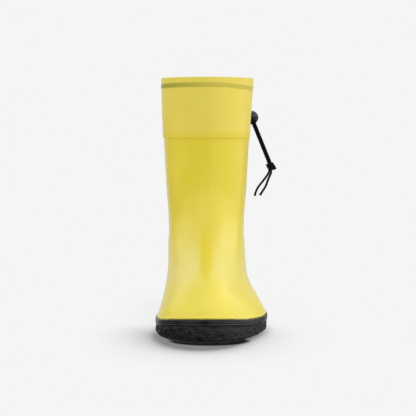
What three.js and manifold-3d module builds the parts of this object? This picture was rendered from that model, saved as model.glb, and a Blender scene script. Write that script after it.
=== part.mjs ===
// Left-foot rubber rain boot with a drawcord collar, in millimetres.
// +Z is up, the toe points to -Y and the outer side of the foot is +X.
// The origin is at the middle of the boot's footprint, on the ground.

import * as THREE from 'three';
import { mergeVertices } from 'three/addons/utils/BufferGeometryUtils.js';
import Module from 'manifold-3d';

const wasm = await Module();
wasm.setup();

// Overall sizes
const soleLength = 274;
const ballWidth = 106;
const bootHeight = 246;
const ankleHeight = 145;

// Upper
const shellWall = 2.2;
const lastingMargin = 13;
const collarDepth = 62.6;
const collarLap = 9.6;
const collarWall = 1.1;
const stripWall = 1.2;
const tapeWall = 0.5;
const stiffenerWall = 1.1;
const liningWall = 1.0;
const seat = 0.3; // clearance between pieces that are bonded face to face
const layerGap = 0.5; // clearance between the curved layers inside the shell

// Hem channel and drawcord
const channelDrop = 7.8; // rim to the middle of the channel
const channelHeight = 9.1;
const channelWidth = 3.8;
const hemFoot = 3.3; // welded band under the channel
const cordDiameter = 2.2;
const eyeletBore = 3.2;
const eyeletBarrel = 5.2;
const eyeletFlange = 8.4;
const eyeletFlangeWall = 0.7;
const eyeletCurl = 6.4;
const eyeletCurlWall = 0.35;

// Cord lock
const lockDiameter = 15.4;
const plungerClearance = 0.3; // round the plunger in its bore
const lockFloor = 1.4; // solid wall in front of the bore
const plungerDiameter = 7.8;
const lockBore = plungerDiameter + 2 * plungerClearance;
const plungerLength = 10.8;
const plungerTravel = 2.5;
const plungerRest = 1.2; // plunger's inner end in front of the ball's centre
const springWire = 0.6;
const springDiameter = 5.2;
const springSeat = 2.1; // depth of the narrower bore that holds the spring
const springClearance = 0.5;
const springCoils = 3;

// Sole
const heelBed = 19;
const archBed = 12.5;
const ballBed = 7;
const tipBed = 14.5;
const toeSpring = 5.3;
const foxingHeight = 6.4;
const foxingWall = 1.9;
const fillerWall = 2.2;
const shankWidth = 14;
const shankWall = 1.4;
const boardWall = 1.5;
const footbedWall = 4.7;
const heelBreast = 62;
const archFront = -10;
const archRise = 8;
const grooveDepth = 3;
const grooveWidth = 4;
const groovePitch = 11;
const treadRim = 6;

// Round the boot: column 0 is the toe, a quarter on is the outer side, half way is the heel
const columns = 32;
const toeColumns = 6; // half the toe puff
const heelColumns = 6; // half the heel counter

const lerp = THREE.MathUtils.lerp;
const turnOf = (column) => (2 * Math.PI * column) / columns;
const toeShare = (turn) => (1 + Math.cos(turn)) / 2; // 0 at the heel, 1 at the toe

// A smooth value through a few given ones
function smoothThrough(places, values, ending = THREE.ZeroSlopeEnding) {
  const sampler = new THREE.CubicInterpolant(places, values, 1, [0]);
  sampler.settings = { endingStart: ending, endingEnd: ending };
  const first = places[0];
  const last = places[places.length - 1];
  return (at) => sampler.evaluate(THREE.MathUtils.clamp(at, first, last))[0];
}

// ---- The form the boot is made on, drawn at its own size ----
const form = { length: 274, width: 106, ankle: 145, height: 246, heelBed: 19, tipBed: 14.5 };
const lengthStretch = soleLength / form.length;
const widthStretch = ballWidth / form.width;
const girthPlaces = [0.13, 0.42, 0.68, 0.93]; // heel, waist, ball, toe
const shaftCentre = -5;
const centreLine = smoothThrough(girthPlaces, [-5, 2, 1, -9]);
const soleFullness = 0.88;

// front reach and height, back reach and height, half widths at heel, waist, ball and toe,
// and how far the level has turned from the sole's line into a flat ring
const formLevels = [
  [-134, 14.5, 134, 19, 46.5, 35, 54, 55.5, 0],
  [-134.5, 22, 134.5, 28, 46.5, 36, 55, 56.5, 0.05],
  [-133, 33, 134.5, 38, 46, 39, 50, 53, 0.3],
  [-127.5, 44, 133.5, 48, 45.5, 40.7, 44, 45, 0.7],
  [-117, 53.5, 132, 58, 44.8, 41, 38.6, 36, 0.9],
  [-101, 61, 130, 68, 43.8, 41, 34.8, 27, 0.97],
  [-80, 67.5, 127, 78, 42.6, 41, 34.5, 24, 1],
  [-56, 75.5, 124.5, 88, 41.7, 40.4, 36, 26, 1],
  [-32, 87, 122.5, 98, 41.3, 40.4, 38, 31, 1],
  [-11, 103, 121, 108, 41.2, 40.8, 39.4, 36, 1],
  [2, 122, 120.5, 122, 42, 42, 41.6, 40.6, 1],
  [7, 145, 122, 145, 43.5, 43.5, 43.5, 43.5, 1],
  [8, 165, 124.5, 165, 44.5, 44.5, 44.5, 44.5, 1],
  [7.5, 190, 128, 190, 45.9, 45.9, 45.9, 45.9, 1],
  [5.8, 218, 131, 218, 47.3, 47.3, 47.3, 47.3, 1],
  [4.5, 246, 133, 246, 48.5, 48.5, 48.5, 48.5, 1],
];
const topLevel = formLevels.length - 1;
const levelSampler = new THREE.CubicInterpolant(
  formLevels.map((row, index) => index), formLevels.flat(), formLevels[0].length, []);

function stretchHeight(height, formBed, bed) {
  if (height <= form.ankle) {
    return bed + (height - formBed) * (ankleHeight - bed) / (form.ankle - formBed);
  }
  return ankleHeight + (height - form.ankle) * (bootHeight - ankleHeight) / (form.height - form.ankle);
}

// Heights of the sole along the foot, by toe share
const bedAt = smoothThrough(
  [0, 0.13, 0.42, 0.68, 0.85, 1],
  [heelBed, heelBed, archBed, ballBed, ballBed + 2.2, tipBed], THREE.ZeroCurvatureEnding);
const cupRise = smoothThrough([0, 0.13, 0.42, 0.68, 0.85, 1], [3.5, 3.4, 1.1, 1.6, 3.3, 6]);
const cupTop = (share) => bedAt(share) + cupRise(share);
const groundAt = (share) => toeSpring * Math.max(0, (share - 0.78) / 0.22) ** 2;
const bedBend = (share) => bedAt(share) - lerp(bedAt(0), bedAt(1), share);
const bedReach = formLevels[0][2] * lengthStretch;
const bedUnder = (point) => bedAt((bedReach - point.y) / (2 * bedReach));

// A point of the upper's outer skin
function skin(turn, level) {
  const row = levelSampler.evaluate(THREE.MathUtils.clamp(level, 0, topLevel));
  const [frontReach, frontHigh, backReach, backHigh, ...rest] = row;
  const flat = THREE.MathUtils.clamp(rest[4], 0, 1);
  const share = toeShare(turn);
  const front = stretchHeight(frontHigh, form.tipBed, tipBed);
  const back = stretchHeight(backHigh, form.heelBed, heelBed);
  const girth = girthAt(share, rest);
  const side = Math.sin(turn);
  const fullness = lerp(soleFullness, 1, flat);
  const half = girth * Math.sign(side) * Math.abs(side) ** fullness;
  return new THREE.Vector3(
    (lerp(centreLine(share), shaftCentre, flat) + half) * widthStretch,
    lerp(backReach, frontReach, share) * lengthStretch,
    lerp(back, front, share) + bedBend(share) * (1 - flat));
}

function girthAt(share, girths) {
  return smoothThrough(girthPlaces, girths.slice(0, 4))(share);
}

// The same point moved outwards, or inwards where out is negative
function skinAt(turn, level, out = 0) {
  const point = skin(turn, level);
  if (out === 0) return point;
  const step = 0.02;
  const along = skin(turn + step, level).sub(skin(turn - step, level));
  const low = Math.max(0, level - step);
  const high = Math.min(topLevel, level + step);
  const up = skin(turn, high).sub(skin(turn, low));
  return point.addScaledVector(along.cross(up).normalize(), out);
}

// The level at which the skin passes a height
function levelAt(turn, height) {
  let low = 0;
  let high = topLevel;
  for (let pass = 0; pass < 30; pass++) {
    const middle = (low + high) / 2;
    if (skin(turn, middle).z < height) low = middle;
    else high = middle;
  }
  return (low + high) / 2;
}

const everyColumn = Array.from({ length: columns }, (none, column) => column);

function ringAtLevel(level, out) {
  return everyColumn.map((column) => skinAt(turnOf(column), level, out));
}

// A ring that follows a height given by toe share, or one flat height
function ringAtHeight(height, out) {
  return everyColumn.map((column) => {
    const turn = turnOf(column);
    const high = typeof height === 'function' ? height(toeShare(turn)) : height;
    const point = skinAt(turn, levelAt(turn, high), out);
    point.z = high;
    return point;
  });
}

const overBed = (rise) => (share) => bedAt(share) + rise;

// A ring a given rise above the bed, which follows the bed's own line under each point
function ringOverBed(rise, out) {
  return ringAtHeight(overBed(rise), out).map((point) => point.setZ(bedUnder(point) + rise));
}

// ---- Closed meshes ----
class Body {
  constructor() {
    this.points = [];
    this.faces = [];
  }

  add(points) {
    const first = this.points.length;
    this.points.push(...points);
    return points.map((point, index) => first + index);
  }

  quad(a, b, c, d) {
    if (a !== b && b !== c && a !== c) this.faces.push(a, b, c);
    if (a !== c && c !== d && a !== d) this.faces.push(a, c, d);
  }

  geometry() {
    const geometry = new THREE.BufferGeometry().setFromPoints(this.points);
    geometry.setIndex(this.faces);
    geometry.computeVertexNormals();
    return geometry;
  }
}

// Every facet is split the same way, so that layers with the same rings keep an even gap
function joinRings(body, from, to) {
  const count = from.length;
  const falling = body.points[to[0]].z < body.points[from[0]].z;
  for (let i = 0; i < count; i++) {
    const next = (i + 1) % count;
    if (falling) body.quad(from[next], to[next], to[i], from[i]);
    else body.quad(from[i], from[next], to[next], to[i]);
  }
}

function capRing(body, ring, upwards) {
  const count = ring.length;
  for (let i = 0; i < count / 2; i++) {
    const strip = [ring[i], ring[i + 1], ring[(count - i - 1) % count], ring[(count - i) % count]];
    if (!upwards) strip.reverse();
    body.quad(...strip);
  }
}

// Rings from the bottom outside, over the top and down inside; open is a hoop, capped is a cup or plate
function loft(rings, capped) {
  const body = new Body();
  const placed = rings.map((ring) => body.add(ring));
  for (let i = 0; i + 1 < placed.length; i++) joinRings(body, placed[i], placed[i + 1]);
  if (capped) {
    capRing(body, placed[0], false);
    capRing(body, placed[placed.length - 1], true);
  } else {
    joinRings(body, placed[placed.length - 1], placed[0]);
  }
  return body.geometry();
}

// A curved panel between an outer and an inner grid of points, rows going up
function panel(outerRows, innerRows) {
  const body = new Body();
  const outer = outerRows.map((row) => body.add(row));
  const inner = innerRows.map((row) => body.add(row));
  const rows = outer.length;
  const wide = outer[0].length;
  const top = rows - 1;
  const right = wide - 1;
  for (let i = 0; i + 1 < rows; i++) {
    for (let j = 0; j + 1 < wide; j++) {
      body.quad(outer[i][j], outer[i][j + 1], outer[i + 1][j + 1], outer[i + 1][j]);
      body.quad(inner[i][j], inner[i + 1][j], inner[i + 1][j + 1], inner[i][j + 1]);
    }
    body.quad(inner[i][0], outer[i][0], outer[i + 1][0], inner[i + 1][0]);
    body.quad(outer[i][right], inner[i][right], inner[i + 1][right], outer[i + 1][right]);
  }
  for (let j = 0; j + 1 < wide; j++) {
    body.quad(inner[0][j], inner[0][j + 1], outer[0][j + 1], outer[0][j]);
    body.quad(outer[top][j], outer[top][j + 1], inner[top][j + 1], inner[top][j]);
  }
  return body.geometry();
}

// ---- Cutting and joining ----
function solidOf(geometry) {
  const bare = new THREE.BufferGeometry();
  bare.setAttribute('position', geometry.getAttribute('position').clone());
  if (geometry.index) bare.setIndex(geometry.index.clone());
  const merged = mergeVertices(bare, 1e-4);
  const faces = [];
  const corners = merged.index.array;
  for (let i = 0; i < corners.length; i += 3) {
    const [a, b, c] = corners.slice(i, i + 3);
    if (a !== b && b !== c && a !== c) faces.push(a, b, c);
  }
  return new wasm.Manifold(new wasm.Mesh({
    numProp: 3,
    vertProperties: new Float32Array(merged.getAttribute('position').array),
    triVerts: new Uint32Array(faces),
  }));
}

function geometryOf(solid) {
  const mesh = solid.getMesh();
  const geometry = new THREE.BufferGeometry();
  geometry.setAttribute('position', new THREE.BufferAttribute(mesh.vertProperties, 3));
  geometry.setIndex(new THREE.BufferAttribute(mesh.triVerts, 1));
  geometry.computeVertexNormals();
  return geometry;
}

const cutAway = (geometry, ...cutters) => geometryOf(
  cutters.reduce((solid, cutter) => solid.subtract(solidOf(cutter)), solidOf(geometry)));

// Turns a shape made along +Y (or +Z) to point along a direction, and moves it to a place
function aim(geometry, made, direction, place) {
  const turn = new THREE.Quaternion().setFromUnitVectors(made, direction);
  return geometry.applyMatrix4(new THREE.Matrix4().compose(place, turn, new THREE.Vector3(1, 1, 1)));
}

const alongY = new THREE.Vector3(0, 1, 0);

function roundBar(diameter, from, to, sides = 20) {
  const bar = new THREE.CylinderGeometry(diameter / 2, diameter / 2, to - from, sides);
  return bar.translate(0, (from + to) / 2, 0);
}

function roundShape(diameter, sides) {
  const corners = Array.from({ length: sides }, (none, i) => new THREE.Vector2(
    Math.cos(2 * Math.PI * i / sides), Math.sin(2 * Math.PI * i / sides)).multiplyScalar(diameter / 2));
  return new THREE.Shape(corners);
}

// A tube along a curve, closed at both ends
function tube(curve, diameter, steps) {
  return geometryOf(solidOf(new THREE.ExtrudeGeometry(roundShape(diameter, 8), {
    steps,
    extrudePath: curve,
    bevelEnabled: false,
  })));
}

const curveThrough = (points) => new THREE.CatmullRomCurve3(
  points.map((point) => new THREE.Vector3(...point)), false, 'centripetal');

// ---- Materials ----
function finish(colour, roughness, metalness = 0, extra = {}) {
  return new THREE.MeshStandardMaterial({ color: colour, roughness, metalness, ...extra });
}

const finishes = {
  yellowRubber: () => finish(0xdfc84e, 0.42),
  clearYellow: () => finish(0xdcca5c, 0.38, 0, { transparent: true, opacity: 0.86 }),
  blackRubber: () => finish(0x242424, 0.55),
  glossBlack: () => finish(0x121214, 0.18),
  blackCord: () => finish(0x1a1a1c, 0.85),
  steel: () => finish(0xb8bcc0, 0.3, 1),
  knit: () => finish(0x8f8c80, 0.95),
  board: () => finish(0xb39a72, 0.9),
  foam: () => finish(0x3a3c40, 0.9),
};

const boot = new THREE.Group();

function place(name, geometry, material) {
  const mesh = new THREE.Mesh(geometry, material);
  mesh.name = name;
  boot.add(mesh);
  return mesh;
}

// ---- Upper ----
const collarBottom = bootHeight - collarDepth;
const shellTop = collarBottom + collarLap;
const shellLevels = [1, 1.7, 2.4, 3, 3.6, 4.3, 5, 6, 7, 8, 9, 10, 11.5]
  .filter((level) => skin(0, level).z < collarBottom - 2);

function makeShell() {
  const outside = [0, 0.5, ...shellLevels].map((level) => ringAtLevel(level, 0));
  const inside = [...shellLevels].reverse().map((level) => ringAtLevel(level, -shellWall));
  return loft([
    ...outside,
    ringAtHeight(collarBottom, 0),
    ringAtHeight(shellTop, 0),
    ringAtHeight(shellTop, -shellWall),
    ...inside,
    ringOverBed(shellWall, -shellWall),
    marginRing(shellWall),
    marginRing(0),
  ], false);
}

// The inner edge of the margin that is turned under the foot
function marginRing(rise, extra = 0) {
  return everyColumn.map((column) => {
    const turn = turnOf(column);
    const point = insetPlan((at) => skin(at, 0), turn, lastingMargin + extra);
    return point.setZ(bedUnder(point) + rise);
  });
}

// A point of a plan outline, moved inwards square to the outline
function insetPlan(outline, turn, inset) {
  const point = outline(turn);
  const step = 0.02;
  const along = outline(turn + step).sub(outline(turn - step)).setZ(0).normalize();
  return point.add(new THREE.Vector3(-along.y, along.x, 0).multiplyScalar(inset));
}

function panelOnSkin(fromColumn, toColumn, rows, innerOut, outerOut) {
  const picked = Array.from({ length: toColumn - fromColumn + 1 }, (none, i) => turnOf(fromColumn + i));
  const grid = (out) => rows.map((row) => picked.map((turn) => {
    if (typeof row === 'number') return skinAt(turn, row, out);
    const high = row.height(toeShare(turn));
    const point = skinAt(turn, levelAt(turn, high), out);
    point.z = high;
    return point;
  }));
  return panel(grid(outerOut), grid(innerOut));
}

const half = columns / 2;
const foxingTop = (share) => cupTop(share) + foxingHeight + seat;
const atHeight = (height) => ({ height: typeof height === 'function' ? height : () => height });
const liningOut = (level) => {
  const foot = shellWall + stiffenerWall + 2 * layerGap;
  const shaft = shellWall + seat;
  return -lerp(foot, shaft, THREE.MathUtils.smoothstep(level, 6, 9));
};

place('boot_shell', makeShell(), finishes.yellowRubber());

const stripTop = collarBottom - 2;
place('back_strip', panelOnSkin(half - 1, half + 1,
  [atHeight((share) => foxingTop(share) + 1), ...shellLevels.slice(1), atHeight(stripTop)],
  seat, seat + stripWall), finishes.yellowRubber());

// Stiffeners and lining inside the shell
const boardFoot = Math.max(shellWall, fillerWall) + seat; // the board lies on the margin and the filler
const stiffenerFoot = boardFoot + boardWall + 2 * seat;
const stiffenerRows = [atHeight(overBed(stiffenerFoot)), 1, 1.7, 2.4, 3, 3.6, 4.3, 5];
const stiffenerOut = -(shellWall + layerGap);
place('toe_puff', panelOnSkin(-toeColumns, toeColumns, stiffenerRows,
  stiffenerOut - stiffenerWall, stiffenerOut), finishes.board());
place('heel_counter', panelOnSkin(half - heelColumns, half + heelColumns, stiffenerRows,
  stiffenerOut - stiffenerWall, stiffenerOut), finishes.board());

const liningFoot = boardFoot + boardWall + seat;
function makeLining() {
  const top = shellTop - 2;
  return loft([
    ringOverBed(liningFoot, liningOut(0)),
    ...shellLevels.map((level) => ringAtLevel(level, liningOut(level))),
    ringAtHeight(top, liningOut(topLevel)),
    ringAtHeight(top, liningOut(topLevel) - liningWall),
    ...[...shellLevels].reverse().map((level) => ringAtLevel(level, liningOut(level) - liningWall)),
    ringOverBed(liningFoot + liningWall, liningOut(0) - liningWall),
  ], true);
}
place('lining', makeLining(), finishes.knit());

// ---- Collar with its hem channel ----
const collarIn = seat;
const collarOut = seat + collarWall;
const channelMiddle = bootHeight - channelDrop;
const channelLow = channelMiddle - 3.8;
const channelHigh = channelLow + channelHeight;
const channelBack = collarIn - channelWidth;
const hemBack = channelBack - collarWall;
const hemLow = channelLow - hemFoot;
const rimRound = 1.4;

function makeCollar() {
  const body = loft([
    ringAtHeight(collarBottom, collarOut),
    ringAtHeight(shellTop, collarOut),
    ringAtHeight(lerp(shellTop, hemLow, 0.5), collarOut),
    ringAtHeight(hemLow, collarOut),
    ringAtHeight(bootHeight - rimRound, collarOut),
    ringAtHeight(bootHeight, collarOut - 0.8),
    ringAtHeight(bootHeight, hemBack + 0.8),
    ringAtHeight(bootHeight - rimRound, hemBack),
    ringAtHeight(channelLow - 2.2, hemBack),
    ringAtHeight(hemLow - 0.9, collarIn),
    ringAtHeight(lerp(shellTop, hemLow, 0.5), collarIn),
    ringAtHeight(shellTop, collarIn),
    ringAtHeight(collarBottom, collarIn),
  ], false);
  const channel = loft([
    ringAtHeight(channelLow, collarIn),
    ringAtHeight(channelHigh, collarIn),
    ringAtHeight(channelHigh, channelBack),
    ringAtHeight(channelLow, channelBack),
  ], false);
  const holes = eyeletPlaces.map(({ centre, outward }) => aim(
    roundBar(eyeletBarrel + 2 * seat, -3, 3), alongY, outward, centre));
  return cutAway(body, channel, ...holes);
}

// The middle of a facet of the collar, and the way it faces
function facetOf(column, height) {
  const low = height - 2;
  const high = height + 2;
  const [a, b] = [column, column + 1].map((at) => collarPoint(at, low));
  const [c, d] = [column, column + 1].map((at) => collarPoint(at, high));
  const centre = new THREE.Vector3().add(a).add(b).add(c).add(d).divideScalar(4);
  const along = b.clone().add(d).sub(a).sub(c);
  const up = c.clone().add(d).sub(a).sub(b);
  return { centre, outward: along.cross(up).normalize() };
}

function collarPoint(column, height) {
  const turn = turnOf(column);
  const point = skinAt(turn, levelAt(turn, height), collarOut);
  point.z = height;
  return point;
}

const eyeletColumns = { front: 10, rear: 12 };
const eyeletPlaces = Object.values(eyeletColumns).map((column) => facetOf(column, channelMiddle));

place('collar', makeCollar(), finishes.clearYellow());
place('collar_seam_tape', panelOnSkin(half - 1, half + 1,
  [collarBottom + 1, lerp(shellTop, hemLow, 0.5), hemLow].map(atHeight),
  collarOut + seat, collarOut + seat + tapeWall), finishes.clearYellow());

// A grommet: flange outside, barrel through the wall, curl inside the channel
function makeEyelet({ centre, outward }) {
  const bore = eyeletBore / 2;
  const flange = eyeletFlange / 2;
  const barrel = eyeletBarrel / 2;
  const curl = eyeletCurl / 2;
  const skinGap = 0.2;
  const curlTop = -collarWall - skinGap;
  const profile = [
    [bore, curlTop - eyeletCurlWall],
    [curl, curlTop - eyeletCurlWall],
    [curl, curlTop],
    [barrel, curlTop],
    [barrel, skinGap],
    [flange, skinGap],
    [flange - 0.3, skinGap + eyeletFlangeWall * 0.8],
    [bore + 0.6, skinGap + eyeletFlangeWall],
    [bore, skinGap + eyeletFlangeWall * 0.4],
    [bore, curlTop - eyeletCurlWall],
  ].map(([x, y]) => new THREE.Vector2(x, y));
  const grommet = geometryOf(solidOf(new THREE.LatheGeometry(profile, 20)));
  return aim(grommet, alongY, outward, centre);
}
place('eyelet_front', makeEyelet(eyeletPlaces[0]), finishes.glossBlack());
place('eyelet_rear', makeEyelet(eyeletPlaces[1]), finishes.glossBlack());

// The cord inside the hem goes the long way round, from the front eyelet to the rear one
function makeHemRun() {
  const out = collarIn - channelWidth / 2 - 0.35;
  const turnSpare = 0.03;
  const start = turnOf(eyeletColumns.front + 0.5) - turnSpare;
  const finishTurn = turnOf(eyeletColumns.rear + 0.5) + turnSpare - 2 * Math.PI;
  const points = Array.from({ length: 41 }, (none, i) => {
    const turn = lerp(start, finishTurn, i / 40);
    return skinAt(turn, levelAt(turn, channelMiddle), out).setZ(channelMiddle);
  });
  return tube(new THREE.CatmullRomCurve3(points), cordDiameter, 64);
}
place('drawcord_hem_run', makeHemRun(), finishes.blackCord());

// ---- Free cord: two strands from the eyelets, through the lock, to one knot and two tails ----
const lockCentre = new THREE.Vector3(45.2, 102.1, 205.2);
const cordLean = new THREE.Vector3(0.377, 0, -0.9262); // the way the strands run below the lock
const strandSide = new THREE.Vector3(0.9262, 0, 0.377);
const strandApart = 2.5;
const strandBehind = 1.0; // strands pass this far behind the ball's centre

const frontRunRoute = [
  [34.9, 97.4, 238.4], [38.0, 98.7, 238.3], [40.3, 99.7, 238.1], [43.1, 100.9, 236.9],
  [44.2, 101.4, 233.6], [43.9, 101.9, 229.3], [42.9, 102.5, 224.5], [42.2, 102.9, 219.8],
  [42.2, 103.1, 216.3], [42.97, 103.1, 214.01], [46.36, 103.1, 205.67], [50.51, 103.1, 195.48],
  [56.16, 103.1, 181.59], [61.82, 103.1, 167.7], [66.42, 103.1, 156.4],
];
const rearRunRoute = [
  [23.4, 115.6, 238.4], [26.0, 118.0, 238.2], [27.8, 119.7, 238.1], [30.0, 121.7, 236.8],
  [31.0, 122.6, 233.6], [32.2, 119.6, 230.0], [34.6, 114.9, 226.2], [37.2, 110.0, 222.3],
  [38.8, 106.4, 218.8], [39.5, 104.2, 216.0], [40.65, 103.1, 213.07], [44.04, 103.1, 204.73],
  [48.19, 103.1, 194.54], [53.84, 103.1, 180.65], [59.5, 103.1, 166.76], [64.1, 103.1, 155.46],
];
const frontTailRoute = [
  [65.0, 102.2, 144.6], [63.9, 102.1, 142.0], [58.6, 102.0, 134.7],
  [52.3, 101.6, 126.4], [49.6, 101.4, 119.7], [49.3, 101.4, 117.6],
];
const rearTailRoute = [
  [67.6, 104.1, 144.1], [66.9, 104.2, 141.8], [64.4, 104.3, 136.2],
  [61.5, 104.4, 128.4], [57.3, 104.6, 121.6], [55.2, 104.7, 118.2],
];
const knotCentre = new THREE.Vector3(67.5, 103.1, 150.4);
const knotAcross = 10.4;
const knotLong = 11.2;

place('drawcord_run_front', tube(curveThrough(frontRunRoute), cordDiameter, 30), finishes.blackCord());
place('drawcord_run_rear', tube(curveThrough(rearRunRoute), cordDiameter, 34), finishes.blackCord());
place('drawcord_tail_front', tube(curveThrough(frontTailRoute), cordDiameter, 9), finishes.blackCord());
place('drawcord_tail_rear', tube(curveThrough(rearTailRoute), cordDiameter, 9), finishes.blackCord());

const knot = new THREE.SphereGeometry(0.5, 12, 10).scale(knotAcross, knotLong, knotAcross);
place('cord_knot', aim(geometryOf(solidOf(knot)), alongY, cordLean, knotCentre), finishes.blackCord());

// ---- Ball lock: its plunger is pushed in from the back, along -Y ----
function stadium(wide, high) {
  const shape = new THREE.Shape();
  const straight = (wide - high) / 2;
  shape.absarc(straight, 0, high / 2, -Math.PI / 2, Math.PI / 2, false);
  shape.absarc(-straight, 0, high / 2, Math.PI / 2, 3 * Math.PI / 2, false);
  shape.closePath();
  return shape;
}

// A slot through the lock along the strands, with its middle this far behind the ball's centre
function strandSlot(shape, behind) {
  const slot = new THREE.ExtrudeGeometry(shape, {
    depth: 2 * lockDiameter, bevelEnabled: false, steps: 1, curveSegments: 6,
  }).translate(0, 0, -lockDiameter);
  return slot.applyMatrix4(new THREE.Matrix4().makeBasis(
    strandSide, alongY, strandSide.clone().cross(alongY))).translate(0, behind, 0);
}

const slotWide = strandApart + cordDiameter + 2 * seat;
const slotHigh = cordDiameter + 2 * seat;
const boreFloor = lockFloor - lockDiameter / 2;
const ball = new THREE.SphereGeometry(lockDiameter / 2, 20, 14);
const ballBody = cutAway(ball,
  roundBar(springDiameter + 2 * springClearance, boreFloor, lockDiameter),
  roundBar(lockBore, boreFloor + springSeat, lockDiameter), strandSlot(stadium(slotWide, slotHigh), strandBehind));
place('cord_lock_body', ballBody, finishes.glossBlack()).position.copy(lockCentre);

function makePlunger() {
  const end = plungerLength - plungerRest;
  const radius = plungerDiameter / 2;
  const stem = new THREE.LatheGeometry([
    [0, -plungerRest], [radius - 0.4, -plungerRest], [radius, 0.4 - plungerRest],
    [radius, end - 1.6], [radius - 0.5, end - 0.6], [radius - 1.4, end - 0.15], [0, end],
  ].map(([x, y]) => new THREE.Vector2(x, y)), 20);
  const slotFrom = strandBehind - slotHigh / 2;
  const slotLong = slotHigh + plungerTravel;
  const slot = new THREE.Shape([
    [-slotWide / 2, -slotLong / 2], [slotWide / 2, -slotLong / 2],
    [slotWide / 2, slotLong / 2], [-slotWide / 2, slotLong / 2],
  ].map(([x, y]) => new THREE.Vector2(x, y)));
  return cutAway(stem, strandSlot(slot, slotFrom + slotLong / 2));
}
place('cord_lock_plunger', makePlunger(), finishes.glossBlack()).position.copy(lockCentre);

function makeSpring() {
  const from = boreFloor + springWire;
  const to = -plungerRest - springWire;
  const radius = springDiameter / 2;
  const steps = springCoils * 12;
  const points = Array.from({ length: steps + 1 }, (none, i) => {
    const turn = 2 * Math.PI * springCoils * i / steps;
    return [radius * Math.cos(turn), lerp(from, to, i / steps), radius * Math.sin(turn)];
  });
  return tube(curveThrough(points), springWire, steps);
}
place('cord_lock_spring', makeSpring(), finishes.steel()).position.copy(lockCentre);

// ---- Sole ----
const soleGirths = [49, 36.5, 55.5, 58];
const soleReach = form.length / 2;
function soleOutline(turn) {
  const share = toeShare(turn);
  const side = Math.sin(turn);
  const half = girthAt(share, soleGirths) * Math.sign(side) * Math.abs(side) ** soleFullness;
  return new THREE.Vector3(
    (centreLine(share) + half) * widthStretch,
    lerp(soleReach, -soleReach, share) * lengthStretch,
    0);
}

function soleRing(inset, height) {
  return everyColumn.map((column) => {
    const turn = turnOf(column);
    return insetPlan(soleOutline, turn, inset).setZ(height(toeShare(turn)));
  });
}

function extrudeAcross(points, reach) {
  const shape = new THREE.Shape(points.map(([y, z]) => new THREE.Vector2(y, z)));
  const prism = new THREE.ExtrudeGeometry(shape, { depth: 2 * reach, bevelEnabled: false, steps: 1 });
  // the shape's x and y become the boot's Y and Z
  return prism.applyMatrix4(new THREE.Matrix4().makeBasis(
    new THREE.Vector3(0, 1, 0), new THREE.Vector3(0, 0, 1), new THREE.Vector3(1, 0, 0)))
    .translate(-reach, 0, 0);
}

function treadGrooves() {
  const chevron = (y) => {
    const reach = ballWidth;
    const lean = reach * 0.22;
    const shape = new THREE.Shape([
      [-reach, y - lean], [0, y], [reach, y - lean],
      [reach, y - lean + grooveWidth], [0, y + grooveWidth], [-reach, y - lean + grooveWidth],
    ].map(([x, at]) => new THREE.Vector2(x, at)));
    const bar = new THREE.ExtrudeGeometry(shape, { depth: grooveDepth + 2, bevelEnabled: false, steps: 1 });
    return solidOf(bar.translate(0, 0, -2));
  };
  const clip = solidOf(loft([
    soleRing(treadRim, () => -1),
    soleRing(treadRim, () => grooveDepth + 1),
  ], true));
  const keepOut = solidOf(extrudeAcross([
    [archFront - treadRim, -3], [heelBreast * lengthStretch + treadRim, -3],
    [heelBreast * lengthStretch + treadRim, archRise], [archFront - treadRim, archRise],
  ], ballWidth));
  const reach = soleLength / 2 - 14;
  let grooves = null;
  for (let y = -reach; y < reach + 10; y += groovePitch) {
    const bar = chevron(y);
    grooves = grooves ? grooves.add(bar) : bar;
  }
  return grooves.intersect(clip).subtract(keepOut);
}

function makeOutsole() {
  const cup = loft([
    soleRing(3, groundAt),
    soleRing(0.8, (share) => groundAt(share) + 2),
    soleRing(0, (share) => groundAt(share) + 5),
    soleRing(0.4, cupTop),
    ringAtHeight(cupTop, layerGap),
    ringAtHeight((share) => bedAt(share) + 0.5 * cupRise(share), layerGap),
    ringAtLevel(0, layerGap).map((point) => point.setZ(bedUnder(point) - seat)),
  ], true);
  const breast = heelBreast * lengthStretch;
  const arch = extrudeAcross([
    [archFront, -5], [breast, -5], [breast, archRise], [archFront + 18, archRise * 0.75], [archFront, 0],
  ], ballWidth);
  return geometryOf(solidOf(cup).subtract(solidOf(arch)).subtract(treadGrooves()));
}
place('outsole', makeOutsole(), finishes.blackRubber());

function makeFoxing() {
  const low = (share) => cupTop(share) + 0.35;
  const over = (rise) => (share) => low(share) + rise;
  return loft([
    ringAtHeight(low, seat + foxingWall),
    ringAtHeight(over(1.2), seat + foxingWall + 0.5),
    ringAtHeight(over(2.2), seat + foxingWall),
    ringAtHeight(over(foxingHeight - 0.6), seat + foxingWall - 0.4),
    ringAtHeight(over(foxingHeight), layerGap + 0.7),
    ringAtHeight(over(foxingHeight), layerGap),
    ringAtHeight(over(foxingHeight / 2), layerGap),
    ringAtHeight(low, layerGap),
  ], false);
}
place('foxing_strip', makeFoxing(), finishes.blackRubber());

// ---- Inside the foot ----
// A strip along the middle of the bed, between two toe shares
function bedStrip(width, fromShare, toShare, low, high) {
  const steps = 8;
  const rows = Array.from({ length: steps + 1 }, (none, i) => lerp(fromShare, toShare, i / steps));
  const grid = (rise) => rows.map((share) => [-width / 2, width / 2].map((x) => new THREE.Vector3(
    centreLine(share) * widthStretch + x,
    lerp(bedReach, -bedReach, share),
    bedAt(share) + rise)));
  return panel(grid(high).reverse(), grid(low).reverse());
}

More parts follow.
